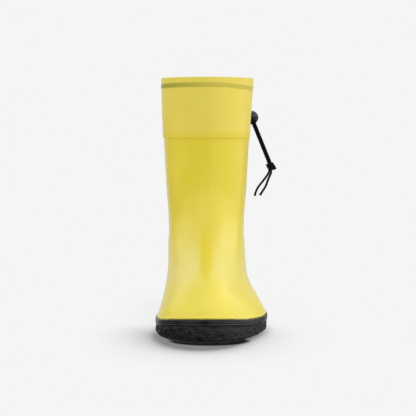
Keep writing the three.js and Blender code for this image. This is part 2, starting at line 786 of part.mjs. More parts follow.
const shankFrom = 0.17;
const shankTo = 0.52;
const shankGap = 0.01;
const filler = loft([marginRing(0, seat), marginRing(fillerWall, seat)], true);
const shankSlot = bedStrip(shankWidth + 2 * seat, shankFrom - shankGap, shankTo + shankGap, -1, fillerWall + 1);
place('midsole_filler', cutAway(filler, shankSlot), finishes.foam());
place('shank', bedStrip(shankWidth, shankFrom, shankTo, seat, seat + shankWall), finishes.steel());

const boardOut = -(shellWall + seat + 0.5);
place('insole_board', loft([
  ringOverBed(boardFoot, boardOut),
  ringOverBed(boardFoot + boardWall, boardOut),
], true), finishes.board());

const footbedFoot = liningFoot + liningWall + 0.4;
const footbedOut = liningOut(0) - liningWall - 0.9;
place('footbed', loft([
  ringOverBed(footbedFoot, footbedOut),
  ringOverBed(footbedFoot + footbedWall, footbedOut - 1.4),
], true), finishes.foam());

export default boot;
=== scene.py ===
import math

import bmesh
import bpy
import numpy as np
from mathutils import Matrix, Vector, noise


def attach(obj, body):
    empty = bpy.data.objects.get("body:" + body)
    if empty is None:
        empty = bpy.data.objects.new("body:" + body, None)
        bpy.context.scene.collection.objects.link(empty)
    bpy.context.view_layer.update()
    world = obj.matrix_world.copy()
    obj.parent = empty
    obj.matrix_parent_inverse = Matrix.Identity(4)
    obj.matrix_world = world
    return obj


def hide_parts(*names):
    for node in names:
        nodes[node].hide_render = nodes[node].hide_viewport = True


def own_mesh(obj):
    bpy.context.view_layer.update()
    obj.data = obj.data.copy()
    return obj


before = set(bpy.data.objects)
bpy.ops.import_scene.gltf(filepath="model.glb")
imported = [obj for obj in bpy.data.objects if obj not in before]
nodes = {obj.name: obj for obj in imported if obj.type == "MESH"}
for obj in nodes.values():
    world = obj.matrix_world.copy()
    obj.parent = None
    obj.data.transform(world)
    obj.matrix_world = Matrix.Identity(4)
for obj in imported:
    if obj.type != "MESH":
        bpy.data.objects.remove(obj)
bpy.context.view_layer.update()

mm = 0.001  # sizes in this file are in millimetres, the scene is in metres
scene = bpy.context.scene


# the camera stands in front of the toe, a little above the collar's lower edge
cameraSet = {"place": (-3.34, -962.0, 201.0), "dip": 5.214, "lens": 82.17, "sensor": 36.0}

cameraData = bpy.data.cameras.new("camera")
cameraData.lens = cameraSet["lens"]
cameraData.sensor_width = cameraSet["sensor"]
cameraObject = bpy.data.objects.new("camera", cameraData)
cameraObject.location = [value * mm for value in cameraSet["place"]]
cameraObject.rotation_euler = (math.radians(90 - cameraSet["dip"]), 0, 0)
scene.collection.objects.link(cameraObject)
scene.camera = cameraObject
print("camera placed")


# a smooth value through given ones, for many places at once
def cubicThrough(places, values, at, levelEnds=False):
    places = np.asarray(places, float)
    values = np.asarray(values, float)
    at = np.clip(at, places[0], places[-1])
    right = np.clip(np.searchsorted(places, at, side="right"), 1, len(places) - 1)
    left = right - 1
    start, end = places[left], places[right]
    noBefore, noAfter = left == 0, right == len(places) - 1
    before = np.where(noBefore, right, left - 1)
    after = np.where(noAfter, right if levelEnds else left, np.minimum(right + 1, len(places) - 1))
    startPlace = np.where(noBefore, 2 * start - end if levelEnds else end, places[before])
    endPlace = np.where(noAfter, 2 * end - start if levelEnds else start, places[after])
    half = (end - start) / 2
    weightBefore = half / (start - startPlace)
    weightAfter = half / (endPlace - end)
    p = (at - start) / (end - start)
    p2, p3 = p * p, p * p * p
    parts = [
        (before, -weightBefore * p3 + 2 * weightBefore * p2 - weightBefore * p),
        (left, (1 + weightBefore) * p3 - (1.5 + 2 * weightBefore) * p2 + (weightBefore - 0.5) * p + 1),
        (right, -(1 + weightAfter) * p3 + (1.5 + weightAfter) * p2 + 0.5 * p),
        (after, weightAfter * p3 - weightAfter * p2),
    ]
    if values.ndim == 1:
        return sum(values[index] * share for index, share in parts)
    return sum(values[index] * share[..., None] for index, share in parts)


def smoothStep(value, low, high):
    t = np.clip((value - low) / (high - low), 0, 1)
    return t * t * (3 - 2 * t)


def bump(value, centre, spread):
    return np.exp(-(((value - centre) / spread) ** 2))


def bumpyNoise(points, size):
    return np.array([noise.noise(Vector(point / size)) for point in points.reshape(-1, 3)]).reshape(points.shape[:-1])


def addObject(name, data):
    thing = bpy.data.objects.new(name, data)
    scene.collection.objects.link(thing)
    return thing


def finishMesh(mesh, sharpAngle=40):
    mesh.polygons.foreach_set("use_smooth", [True] * len(mesh.polygons))
    mesh.set_sharp_from_angle(angle=math.radians(sharpAngle))
    mesh.update()


# rings of points, bottom outside first; "hoop" closes last to first, "caps" closes both ends with strips
def loftPiece(name, rings, ends="hoop", sharpAngle=40):
    rings = np.array(rings)
    rows, columns = rings.shape[:2]
    index = np.arange(rows * columns).reshape(rows, columns)
    lower, upper = (index, np.roll(index, -1, axis=0)) if ends == "hoop" else (index[:-1], index[1:])
    quads = np.stack([lower, np.roll(lower, -1, 1), np.roll(upper, -1, 1), upper], -1).reshape(-1, 4)
    girth = np.linalg.norm(np.roll(rings, -1, 1) - rings, axis=2).sum(1).max()
    climb = np.concatenate([[0], np.linalg.norm(np.diff(rings, axis=0), axis=2).mean(1).cumsum()])
    uLeft = np.broadcast_to(np.arange(columns) / columns * girth, lower.shape)
    uRight = uLeft + girth / columns
    vLow = np.broadcast_to(climb[: len(lower), None], lower.shape)
    vHigh = vLow + np.broadcast_to(np.append(np.diff(climb), 1.0)[: len(lower), None], lower.shape)
    uv = np.stack([uLeft, vLow, uRight, vLow, uRight, vHigh, uLeft, vHigh], -1).reshape(-1, 2)
    faces = [tuple(quad) for quad in quads.tolist()]
    if ends == "caps":
        capUv = []
        for ring, flip in ((index[0], True), (index[-1], False)):
            ring = ring.tolist()
            for j in range(columns // 2):
                corners = [ring[j], ring[j + 1], ring[(columns - j - 1) % columns], ring[(columns - j) % columns]]
                corners = list(dict.fromkeys(corners))
                corners = corners[::-1] if flip else corners
                faces.append(tuple(corners))
                flat = rings.reshape(-1, 3)
                capUv += [(flat[corner][0], flat[corner][1]) for corner in corners]
        uv = np.concatenate([uv, np.array(capUv)])
    mesh = bpy.data.meshes.new(name)
    mesh.from_pydata((rings.reshape(-1, 3) * mm).tolist(), [], faces)
    layer = mesh.uv_layers.new(name="lengths")
    layer.data.foreach_set("uv", (uv * mm).ravel())
    finishMesh(mesh, sharpAngle)
    return addObject(name, mesh)


# a curved panel with an outer and an inner grid, rows going up and columns going round
def panelPiece(name, outer, inner):
    rows, columns = outer.shape[:2]
    grid = np.arange(rows * columns).reshape(rows, columns)
    back = grid + rows * columns
    faces = []
    for a, flip in ((grid, False), (back, True)):
        quads = np.stack([a[:-1, :-1], a[:-1, 1:], a[1:, 1:], a[1:, :-1]], -1).reshape(-1, 4)
        faces += (quads[:, ::-1] if flip else quads).tolist()
    rim = [*grid[0, :-1], *grid[:-1, -1], *grid[-1, :0:-1], *grid[:0:-1, 0]]
    for here, there in zip(rim, rim[1:] + rim[:1]):
        shift = rows * columns
        faces.append((int(there), int(here), int(here) + shift, int(there) + shift))
    points = np.concatenate([outer.reshape(-1, 3), inner.reshape(-1, 3)])
    mesh = bpy.data.meshes.new(name)
    mesh.from_pydata((points * mm).tolist(), [], faces)
    finishMesh(mesh)
    return addObject(name, mesh)


# a turned piece: profile of (radius, along), closed when it ends where it starts or on the axis
def turnedPiece(name, profile, place, axis, segments=64, sharpAngle=35):
    work = bmesh.new()
    rings = []
    for radius, along in profile:
        if radius < 1e-6:
            rings.append([work.verts.new((0, 0, along * mm))])
            continue
        angles = [2 * math.pi * i / segments for i in range(segments)]
        reach, rise = radius * mm, along * mm
        rings.append([work.verts.new((reach * math.cos(a), reach * math.sin(a), rise)) for a in angles])
    pairs = list(zip(rings, rings[1:]))
    if profile[0][0] > 1e-6:
        pairs.append((rings[-1], rings[0]))
    for low, high in pairs:
        for i in range(segments):
            j = (i + 1) % segments
            if len(low) == 1:
                work.faces.new((low[0], high[j], high[i]))
            elif len(high) == 1:
                work.faces.new((low[i], low[j], high[0]))
            else:
                work.faces.new((low[i], low[j], high[j], high[i]))
    bmesh.ops.recalc_face_normals(work, faces=work.faces)
    mesh = bpy.data.meshes.new(name)
    work.to_mesh(mesh)
    work.free()
    turn = Vector((0, 0, 1)).rotation_difference(Vector(axis)).to_matrix().to_4x4()
    mesh.transform(Matrix.Translation(Vector(place) * mm) @ turn)
    finishMesh(mesh, sharpAngle)
    return addObject(name, mesh)


# takes the cutters out of a piece and keeps the result as plain mesh
def cutPiece(piece, cutters, sharpAngle=40):
    for cutter in cutters:
        step = piece.modifiers.new("cut", "BOOLEAN")
        step.operation = "DIFFERENCE"
        step.solver = "EXACT"
        step.object = cutter
    bpy.context.view_layer.update()
    made = bpy.data.meshes.new_from_object(piece.evaluated_get(bpy.context.evaluated_depsgraph_get()))
    piece.modifiers.clear()
    old = piece.data
    piece.data = made
    made.name = old.name + "Cut"
    finishMesh(made, sharpAngle)
    for cutter in cutters:
        bpy.data.objects.remove(cutter)


# shader groups shared by the materials
def makeGroup(name, inputs, outputs):
    group = bpy.data.node_groups.new(name, "ShaderNodeTree")
    for label, value in inputs:
        group.interface.new_socket(name=label, in_out="INPUT", socket_type="NodeSocketFloat").default_value = value
    for label in outputs:
        group.interface.new_socket(name=label, in_out="OUTPUT", socket_type="NodeSocketFloat")
    return group, group.nodes.new("NodeGroupInput"), group.nodes.new("NodeGroupOutput")


def mathNode(tree, operation, first, second=None, third=None):
    node = tree.nodes.new("ShaderNodeMath")
    node.operation = operation
    for socket, value in zip(node.inputs, (first, second, third)):
        if value is None:
            continue
        if isinstance(value, (int, float)):
            socket.default_value = value
        else:
            tree.links.new(value, socket)
    return node.outputs[0]


def noiseNode(tree, vector, scale, detail=3.0, rough=0.55):
    node = tree.nodes.new("ShaderNodeTexNoise")
    tree.links.new(vector, node.inputs["Vector"])
    if isinstance(scale, (int, float)):
        node.inputs["Scale"].default_value = scale
    else:
        tree.links.new(scale, node.inputs["Scale"])
    node.inputs["Detail"].default_value = detail
    node.inputs["Roughness"].default_value = rough
    return node.outputs["Fac"]


def rangeNode(tree, value, fromLow, fromHigh, toLow=0.0, toHigh=1.0):
    node = tree.nodes.new("ShaderNodeMapRange")
    node.interpolation_type = "SMOOTHSTEP"
    tree.links.new(value, node.inputs["Value"])
    for label, number in zip(("From Min", "From Max", "To Min", "To Max"), (fromLow, fromHigh, toLow, toHigh)):
        node.inputs[label].default_value = number
    return node.outputs["Result"]


# moulded skin: fine grain for bump, soft clouds for colour and gloss
def makeSkinGroup():
    group, start, end = makeGroup("mouldedSkin", [("Grain", 900.0), ("Cloud", 14.0)], ["Height", "Clouds"])
    place = group.nodes.new("ShaderNodeTexCoord").outputs["Object"]
    fine = noiseNode(group, place, start.outputs["Grain"], 4.0, 0.6)
    soft = noiseNode(group, place, start.outputs["Cloud"], 3.0, 0.5)
    group.links.new(fine, end.inputs["Height"])
    group.links.new(rangeNode(group, soft, 0.3, 0.7), end.inputs["Clouds"])
    return group


# crossing threads laid out along the piece's own lengths
def makeWeaveGroup():
    group, start, end = makeGroup("crossedThreads", [("Threads", 900.0), ("Slant", 0.0)], ["Height", "Gaps"])
    uv = group.nodes.new("ShaderNodeUVMap")
    uv.uv_map = "lengths"
    split = group.nodes.new("ShaderNodeSeparateXYZ")
    group.links.new(uv.outputs["UV"], split.inputs[0])
    lean = mathNode(group, "MULTIPLY", split.outputs["Y"], start.outputs["Slant"])
    across = mathNode(group, "ADD", split.outputs["X"], lean)
    warp = mathNode(group, "SINE", mathNode(group, "MULTIPLY", across, start.outputs["Threads"]))
    weft = mathNode(group, "SINE", mathNode(group, "MULTIPLY", split.outputs["Y"], start.outputs["Threads"]))
    cross = mathNode(group, "MULTIPLY", warp, weft)
    group.links.new(mathNode(group, "ABSOLUTE", cross), end.inputs["Height"])
    group.links.new(rangeNode(group, mathNode(group, "ABSOLUTE", cross), 0.0, 0.35, 1.0, 0.0), end.inputs["Gaps"])
    return group


# light handling marks: stretched smears and a few rubs; on the sole the same mask also places painted highlight flecks
def makeScuffAndHighlightGroup():
    group, start, end = makeGroup("handlingMarksAndHighlights", [("Scale", 40.0), ("Amount", 0.3)], ["Marks"])
    place = group.nodes.new("ShaderNodeTexCoord").outputs["Object"]
    stretch = group.nodes.new("ShaderNodeMapping")
    stretch.inputs["Scale"].default_value = (1.0, 1.0, 3.5)
    group.links.new(place, stretch.inputs["Vector"])
    smear = noiseNode(group, stretch.outputs[0], start.outputs["Scale"], 5.0, 0.65)
    rubs = rangeNode(group, smear, 0.56, 0.74)
    group.links.new(mathNode(group, "MULTIPLY", rubs, start.outputs["Amount"]), end.inputs["Marks"])
    return group


skinGroup, weaveGroup, scuffAndHighlightGroup = makeSkinGroup(), makeWeaveGroup(), makeScuffAndHighlightGroup()


class Finish:
    def __init__(self, name, **inputs):
        self.material = bpy.data.materials.new(name)
        self.material.use_nodes = True
        self.nodes = self.material.node_tree.nodes
        self.links = self.material.node_tree.links
        self.shader = self.nodes["Principled BSDF"]
        for label, value in inputs.items():
            self.shader.inputs[label.replace("_", " ")].default_value = value

    def group(self, group, **inputs):
        node = self.nodes.new("ShaderNodeGroup")
        node.node_tree = group
        for label, value in inputs.items():
            node.inputs[label].default_value = value
        return node

    def blend(self, factor, first, second):
        node = self.nodes.new("ShaderNodeMix")
        node.data_type = "RGBA"
        self.links.new(factor, node.inputs[0])
        for socket, colour in ((node.inputs[6], first), (node.inputs[7], second)):
            if isinstance(colour, tuple):
                socket.default_value = (*colour, 1.0)
            else:
                self.links.new(colour, socket)
        return node.outputs[2]

    def colour(self, value):
        self.links.new(value, self.shader.inputs["Base Color"])

    def gloss(self, value):
        self.links.new(value, self.shader.inputs["Roughness"])

    def relief(self, layers):
        normal = None
        for height, strength, distance in layers:
            node = self.nodes.new("ShaderNodeBump")
            node.inputs["Strength"].default_value = strength
            node.inputs["Distance"].default_value = distance * mm
            self.links.new(height, node.inputs["Height"])
            if normal is not None:
                self.links.new(normal, node.inputs["Normal"])
            normal = node.outputs["Normal"]
        self.links.new(normal, self.shader.inputs["Normal"])

    @property
    def tree(self):
        return self.material.node_tree


def yellowRubber():
    look = Finish("yellowRubber", Specular_IOR_Level=0.22, Coat_Weight=0.55, Coat_Roughness=0.12)
    skin = look.group(skinGroup, Grain=1500.0, Cloud=11.0)
    marks = look.group(scuffAndHighlightGroup, Scale=26.0, Amount=0.35)
    base = look.blend(skin.outputs["Clouds"], (0.735, 0.595, 0.035), (0.775, 0.635, 0.05))
    # painted sheen: the foot gets a paler yellow than the shaft, standing in for the sheen its upward-facing surfaces
    # catch
    split = look.nodes.new("ShaderNodeSeparateXYZ")
    look.links.new(look.nodes.new("ShaderNodeTexCoord").outputs["Object"], split.inputs[0])
    low = rangeNode(look.tree, split.outputs["Z"], 30 * mm, 115 * mm, 0.85, 0.0)
    base = look.blend(low, base, (0.845, 0.715, 0.08))
    look.colour(look.blend(marks.outputs["Marks"], base, (0.82, 0.69, 0.10)))
    rough = rangeNode(look.tree, skin.outputs["Clouds"], 0.0, 1.0, 0.30, 0.36)
    look.gloss(mathNode(look.tree, "ADD", rough, mathNode(look.tree, "MULTIPLY", marks.outputs["Marks"], 0.1)))
    look.relief([(skin.outputs["Height"], 0.25, 0.05)])
    return look.material


def collarRubber(band, lap):
    look = Finish("collarRubber", Specular_IOR_Level=0.25, Coat_Weight=0.12, Coat_Roughness=0.22)
    skin = look.group(skinGroup, Grain=1300.0, Cloud=13.0)
    marks = look.group(scuffAndHighlightGroup, Scale=30.0, Amount=0.3)
    place = look.nodes.new("ShaderNodeTexCoord").outputs["Object"]
    split = look.nodes.new("ShaderNodeSeparateXYZ")
    look.links.new(place, split.inputs[0])
    base = look.blend(skin.outputs["Clouds"], (0.74, 0.60, 0.08), (0.775, 0.64, 0.102))
    base = look.blend(marks.outputs["Marks"], base, (0.80, 0.68, 0.20))
    # over the shell's top edge the two layers make a deeper yellow
    overShell = rangeNode(look.tree, split.outputs["Z"], lap["fade"][0] * mm, lap["fade"][1] * mm, 1.0, 0.0)
    base = look.blend(overShell, base, lap["colour"])
    # the cord in the hem shows through as a dull band, closer to the skin on the inner side
    sag = rangeNode(look.tree, split.outputs["X"], band["sagFrom"] * mm, band["sagTo"] * mm, 0.0, band["sag"] * mm)
    offset = mathNode(look.tree, "ADD", split.outputs["Z"], sag)
    away = mathNode(look.tree, "ABSOLUTE", mathNode(look.tree, "SUBTRACT", offset, band["height"] * mm))
    shade = rangeNode(look.tree, away, band["solid"] * mm, band["edge"] * mm, 1.0, 0.0)
    depth = rangeNode(look.tree, split.outputs["X"], -54 * mm, 4 * mm, band["left"], band["right"])
    look.colour(look.blend(mathNode(look.tree, "MULTIPLY", shade, depth), base, band["colour"]))
    look.gloss(rangeNode(look.tree, skin.outputs["Clouds"], 0.0, 1.0, 0.34, 0.42))
    look.relief([(skin.outputs["Height"], 0.25, 0.05)])
    return look.material


def soleRubber():
    look = Finish("soleRubber", Specular_IOR_Level=0.32)
    skin = look.group(skinGroup, Grain=520.0, Cloud=160.0)
    marks = look.group(scuffAndHighlightGroup, Scale=150.0, Amount=0.9)
    crumbs = look.nodes.new("ShaderNodeTexVoronoi")
    crumbs.inputs["Scale"].default_value = 420.0
    look.links.new(look.nodes.new("ShaderNodeTexCoord").outputs["Object"], crumbs.inputs["Vector"])
    base = look.blend(skin.outputs["Clouds"], (0.002, 0.002, 0.002), (0.010, 0.010, 0.0098))
    # the paler flecks on the sole are partly real rubs and partly painted highlights on the lumps
    look.colour(look.blend(marks.outputs["Marks"], base, (0.05, 0.05, 0.047)))
    look.gloss(rangeNode(look.tree, skin.outputs["Clouds"], 0.0, 1.0, 0.34, 0.6))
    lumps = look.group(skinGroup, Grain=260.0, Cloud=120.0)
    look.relief([(lumps.outputs["Height"], 1.0, 2.2), (skin.outputs["Height"], 0.8, 0.5),
                 (crumbs.outputs["Distance"], 0.5, 0.3)])
    return look.material


def foxingRubber():
    look = Finish("foxingRubber", Specular_IOR_Level=0.2, Coat_Weight=0.06, Coat_Roughness=0.12)
    skin = look.group(skinGroup, Grain=800.0, Cloud=60.0)
    marks = look.group(scuffAndHighlightGroup, Scale=70.0, Amount=0.5)
    base = look.blend(skin.outputs["Clouds"], (0.009, 0.009, 0.0094), (0.017, 0.017, 0.0175))
    look.colour(look.blend(marks.outputs["Marks"], base, (0.02, 0.02, 0.02)))
    look.gloss(rangeNode(look.tree, skin.outputs["Clouds"], 0.0, 1.0, 0.16, 0.3))
    look.relief([(skin.outputs["Height"], 0.35, 0.12)])
    return look.material


def cordFibre():
    look = Finish("cordFibre", Specular_IOR_Level=0.12)
    weave = look.group(weaveGroup, Threads=9000.0, Slant=0.6)
    look.colour(look.blend(weave.outputs["Gaps"], (0.0075, 0.007, 0.0065), (0.0015, 0.0015, 0.0015)))
    look.gloss(rangeNode(look.tree, weave.outputs["Height"], 0.0, 1.0, 0.9, 0.66))
    look.relief([(weave.outputs["Height"], 0.5, 0.06)])
    return look.material


def lockPlastic():
    look = Finish("lockPlastic", Specular_IOR_Level=0.5)
    skin = look.group(skinGroup, Grain=1100.0, Cloud=90.0)
    marks = look.group(scuffAndHighlightGroup, Scale=220.0, Amount=0.4)
    look.colour(look.blend(marks.outputs["Marks"], (0.003, 0.003, 0.0035), (0.012, 0.012, 0.013)))
    look.gloss(rangeNode(look.tree, skin.outputs["Clouds"], 0.0, 1.0, 0.06, 0.12))
    look.relief([(skin.outputs["Height"], 0.15, 0.04)])
    return look.material


def eyeletPaint():
    look = Finish("eyeletPaint", Metallic=0.6, Specular_IOR_Level=0.5)
    skin = look.group(skinGroup, Grain=1600.0, Cloud=200.0)
    marks = look.group(scuffAndHighlightGroup, Scale=300.0, Amount=0.6)
    look.colour(look.blend(marks.outputs["Marks"], (0.012, 0.012, 0.013), (0.08, 0.08, 0.085)))
    look.gloss(rangeNode(look.tree, skin.outputs["Clouds"], 0.0, 1.0, 0.2, 0.32))
    look.relief([(skin.outputs["Height"], 0.1, 0.03)])
    return look.material


def clothLook(name, light, dark, threads, rough):
    look = Finish(name, Specular_IOR_Level=0.25, Sheen_Weight=0.2)
    weave = look.group(weaveGroup, Threads=threads, Slant=0.5)
    skin = look.group(skinGroup, Grain=600.0, Cloud=30.0)
    base = look.blend(weave.outputs["Gaps"], light, dark)
    look.colour(look.blend(skin.outputs["Clouds"], base, tuple(value * 0.85 for value in light)))
    look.gloss(rangeNode(look.tree, skin.outputs["Clouds"], 0.0, 1.0, rough, rough + 0.08))
    look.relief([(weave.outputs["Height"], 0.6, 0.25), (skin.outputs["Height"], 0.3, 0.15)])
    return look.material


def plainLook(name, first, second, rough, grain, metal=0.0):
    look = Finish(name, Metallic=metal)
    skin = look.group(skinGroup, Grain=grain, Cloud=grain / 8)
    look.colour(look.blend(skin.outputs["Clouds"], first, second))
    look.gloss(rangeNode(look.tree, skin.outputs["Clouds"], 0.0, 1.0, rough, rough + 0.12))
    look.relief([(skin.outputs["Height"], 0.4, 0.1)])
    return look.material


def dress(piece, material):
    piece.data.materials.clear()
    piece.data.materials.append(material)


def install(piece, body, slotName, material, *replaced):
    dress(piece, material)
    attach(piece, body)
    if replaced:
        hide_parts(*replaced)


bandLook = {
    "height": 238.0, "solid": 1.5, "edge": 3.3, "left": 0.89, "right": 0.46, "colour": (0.30, 0.28, 0.03),
    "sag": 2.4, "sagFrom": 8.0, "sagTo": 46.0,
}
lapLook = {"fade": (184.0, 193.5), "colour": (0.74, 0.575, 0.04)}

looks = {
    "shell": yellowRubber(),
    "collar": collarRubber(bandLook, lapLook),
    "sole": soleRubber(),
    "foxing": foxingRubber(),
    "cord": cordFibre(),
    "lock": lockPlastic(),
    "eyelet": eyeletPaint(),
    "lining": clothLook("liningKnit", (0.40, 0.38, 0.33), (0.20, 0.19, 0.17), 2600.0, 0.85),
    "footbed": clothLook("footbedCloth", (0.075, 0.078, 0.085), (0.03, 0.03, 0.034), 3200.0, 0.82),
    "board": plainLook("fibreBoard", (0.42, 0.31, 0.19), (0.52, 0.40, 0.26), 0.78, 700.0),
    "stiffener": plainLook("stiffenerFelt", (0.46, 0.40, 0.30), (0.54, 0.48, 0.38), 0.82, 900.0),
    "filler": plainLook("fillerFoam", (0.05, 0.05, 0.055), (0.08, 0.08, 0.085), 0.8, 1200.0),
    "shank": plainLook("shankSteel", (0.45, 0.45, 0.47), (0.55, 0.55, 0.57), 0.3, 500.0, 1.0),
    "spring": plainLook("springSteel", (0.60, 0.61, 0.62), (0.68, 0.69, 0.70), 0.22, 800.0, 1.0),
}
print("materials made")


# two strands run from the eyelets through the lock to the knot, then two tails
cordSet = {
    "diameter": 2.4, "sides": 24, "ring": 0.3, "carriers": 8, "pitch": 7.0, "braid": 0.12, "pinchFrom": 9,
    "knot": (67.5, 103.1, 150.4), "lean": (0.377, 0, -0.9262), "side": (0.9262, 0, 0.377),
}
frontRun = [
    (34.9, 97.4, 238.4), (38.0, 98.7, 238.3), (40.3, 99.7, 238.1), (43.1, 100.9, 236.9),
    (44.2, 101.4, 233.6), (43.9, 101.9, 229.3), (42.9, 102.5, 224.5), (42.2, 102.9, 219.8),
    (42.2, 103.1, 216.3), (42.97, 103.1, 214.01), (46.36, 103.1, 205.67), (50.51, 103.1, 195.48),
    (56.16, 103.1, 181.59), (61.82, 103.1, 167.7), (64.12, 103.1, 162.05), (65.5, 103.1, 158.66),
    (66.42, 103.1, 156.4),
]
rearRun = [
    (23.4, 115.6, 238.4), (26.0, 118.0, 238.2), (27.8, 119.7, 238.1), (30.0, 121.7, 236.8),
    (31.0, 122.6, 233.6), (32.2, 119.6, 230.0), (34.6, 114.9, 226.2), (37.2, 110.0, 222.3),
    (38.8, 106.4, 218.8), (39.5, 104.2, 216.0), (40.65, 103.1, 213.07), (44.04, 103.1, 204.73),
    (48.19, 103.1, 194.54), (53.84, 103.1, 180.65), (59.5, 103.1, 166.76), (61.8, 103.1, 161.11),
    (63.18, 103.1, 157.72), (64.1, 103.1, 155.46),
]
frontTail = [
    (65.0, 102.2, 144.6), (63.9, 102.1, 142.0), (58.6, 102.0, 134.7),
    (52.3, 101.6, 126.4), (49.6, 101.4, 119.7), (49.3, 101.4, 117.6),
]
rearTail = [
    (67.6, 104.1, 144.1), (66.9, 104.2, 141.8), (64.4, 104.3, 136.2),
    (61.5, 104.4, 128.4), (57.3, 104.6, 121.6), (55.2, 104.7, 118.2),
]


# centripetal curve through points, returned as a dense line with even spacing
def routeLine(points, spacing):
    points = np.array(points, float)
    ends = np.vstack([2 * points[0] - points[1], points, 2 * points[-1] - points[-2]])
    dense = []
    for i in range(len(points) - 1):
        p0, p1, p2, p3 = ends[i: i + 4]
        d0, d1, d2 = (math.sqrt(np.linalg.norm(b - a)) for a, b in ((p0, p1), (p1, p2), (p2, p3)))
        out = ((p1 - p0) / d0 - (p2 - p0) / (d0 + d1) + (p2 - p1) / d1) * d1
        arrive = ((p2 - p1) / d1 - (p3 - p1) / (d1 + d2) + (p3 - p2) / d2) * d1
        t = np.linspace(0, 1, 41)[:-1, None]
        dense.append(p1 + out * t + (-3 * p1 + 3 * p2 - 2 * out - arrive) * t ** 2
                     + (2 * p1 - 2 * p2 + out + arrive) * t ** 3)
    dense = np.vstack([*dense, points[-1:]])
    along = np.concatenate([[0], np.linalg.norm(np.diff(dense, axis=0), axis=1).cumsum()])
    count = max(4, round(along[-1] / spacing))
    even = np.linspace(0, along[-1], count + 1)
    return np.stack([np.interp(even, along, dense[:, k]) for k in range(3)], 1), along[-1]


# cross directions that don't twist along a line
def carriedFrames(line):
    tangents = np.gradient(line, axis=0)
    tangents /= np.linalg.norm(tangents, axis=1)[:, None]
    first = np.cross(tangents[0], (0.0, 0.0, 1.0) if abs(tangents[0][2]) < 0.9 else (0.0, 1.0, 0.0))
    firsts = []
    for tangent in tangents:
        first = first - tangent * np.dot(first, tangent)
        first = first / np.linalg.norm(first)
        firsts.append(first)
    firsts = np.array(firsts)
    return tangents, firsts, np.cross(tangents, firsts)


# a braided cord: the crossing carriers stand up as small lozenges; flare widens the cut end
def braidedRings(line, length, flare=0.0):
    tangents, firsts, seconds = carriedFrames(line)
    along = np.linspace(0, length, len(line))[:, None]
    angle = (2 * np.pi * np.arange(cordSet["sides"]) / cordSet["sides"])[None, :]
    turn = 2 * np.pi * along / cordSet["pitch"]
    half = cordSet["carriers"] / 2
    lozenge = np.abs(np.sin(half * (angle + turn)) * np.sin(half * (angle - turn)))
    radius = cordSet["diameter"] / 2 - 0.02 + cordSet["braid"] * lozenge
    radius = radius * (1 + flare * smoothStep(along, length - 2.2, length - 0.4))
    rings = (line[:, None] + firsts[:, None] * (radius * np.cos(angle))[..., None]
             + seconds[:, None] * (radius * np.sin(angle))[..., None])
    return rings, tangents


def cordPiece(name, points, flare=0.0):
    line, length = routeLine(points, cordSet["ring"])
    rings, tangents = braidedRings(line, length, flare)
    # both ends close over in a few small steps
    starts = [line[0] + (rings[0] - line[0]) * share for share in (0.15, 0.6, 0.9)]
    stops = [line[-1] + (rings[-1] - line[-1]) * share for share in (0.9, 0.6, 0.15)]
    piece = loftPiece(name, [*starts, *rings, *stops], "caps", 60)
    return piece, line, length


# each cord runs from its eyelet through the lock and the knot to its free end
cordRoutes = {
    "drawcordFront": {"run": frontRun, "tail": frontTail, "flare": 0.06, "pinch": -0.09,
                      "nodes": ("drawcord_run_front", "drawcord_tail_front")},
    "drawcordRear": {"run": rearRun, "tail": rearTail, "flare": 0.18, "pinch": 0.09,
                     "nodes": ("drawcord_run_rear", "drawcord_tail_rear")},
}


# the two strands lie against each other from the lock to the knot
def pinched(points, shift):
    moved = np.array(points, float)
    moved[cordSet["pinchFrom"]:] += np.array(cordSet["side"]) * shift
    return moved.tolist()


for name, route in cordRoutes.items():
    points = pinched(route["run"], route["pinch"]) + route["tail"]
    piece, line, length = cordPiece(name, points, route["flare"])
    install(piece, "boot", "cord", looks["cord"], *route["nodes"])


# the knot: both cords pass through the middle, wrapped by their own doubled turns
def knotPiece():
    centre = np.array(cordSet["knot"])
    down = np.array(cordSet["lean"])
    side = np.array(cordSet["side"])
    back = np.cross(down, side)

    def local(points):
        points = np.array(points, float)
        return centre + points[:, :1] * side + points[:, 1:2] * back + points[:, 2:3] * down

    strands = []
    for shift, lift in ((-1.15, 0.0), (1.15, 0.15)):
        turns = np.linspace(-0.2, 1.55, 60)
        angle = 2 * np.pi * turns + 0.6
        climb = (turns - 0.68) * 3.6 + shift * 0.95
        reach = 3.35 + lift - 1.5 * smoothStep(np.abs(turns - 0.68), 0.62, 0.88)
        tilt = 0.42 * reach * np.cos(angle)
        strands.append(local(np.stack([
            reach * 1.08 * np.cos(angle), reach * 0.86 * np.sin(angle), climb + tilt], 1)))
    pieces = []
    for number, strand in enumerate(strands):
        line, length = routeLine(strand, 0.3)
        made, tangents = braidedRings(line, length)
        starts = [line[0] + (made[0] - line[0]) * share for share in (0.15, 0.7)]
        stops = [line[-1] + (made[-1] - line[-1]) * share for share in (0.7, 0.15)]
        pieces.append(loftPiece("knotStrand" + str(number), [*starts, *made, *stops], "caps", 60))
    with bpy.context.temp_override(active_object=pieces[0], selected_editable_objects=pieces, object=pieces[0],
                                   selected_objects=pieces):
        bpy.ops.object.join()
    pieces[0].name = "cordKnot"
    return pieces[0]


knot = knotPiece()
install(knot, "boot", "cord", looks["cord"], "cord_knot")


# the ball lock slides on the cord
lockSet = {
    "centre": (45.2, 102.1, 205.2), "radius": 7.7, "bore": 4.2, "floor": -6.3, "lip": 0.5,
    "slotWide": 5.3, "slotHigh": 2.8, "slotBack": 1.0, "travel": 2.5,
    "plunger": 3.9, "plungerFrom": -1.2, "plungerTo": 9.6,
    "springWire": 0.6, "springWide": 4.6, "springTurns": 4, "springKeep": 0.5,
    "seat": 2.1, "seatBore": 3.1,
}


def arcPoints(radius, fromAngle, toAngle, count, centre=(0.0, 0.0)):
    angles = np.linspace(math.radians(fromAngle), math.radians(toAngle), count)
    return [(centre[0] + radius * math.cos(a), centre[1] + radius * math.sin(a)) for a in angles]


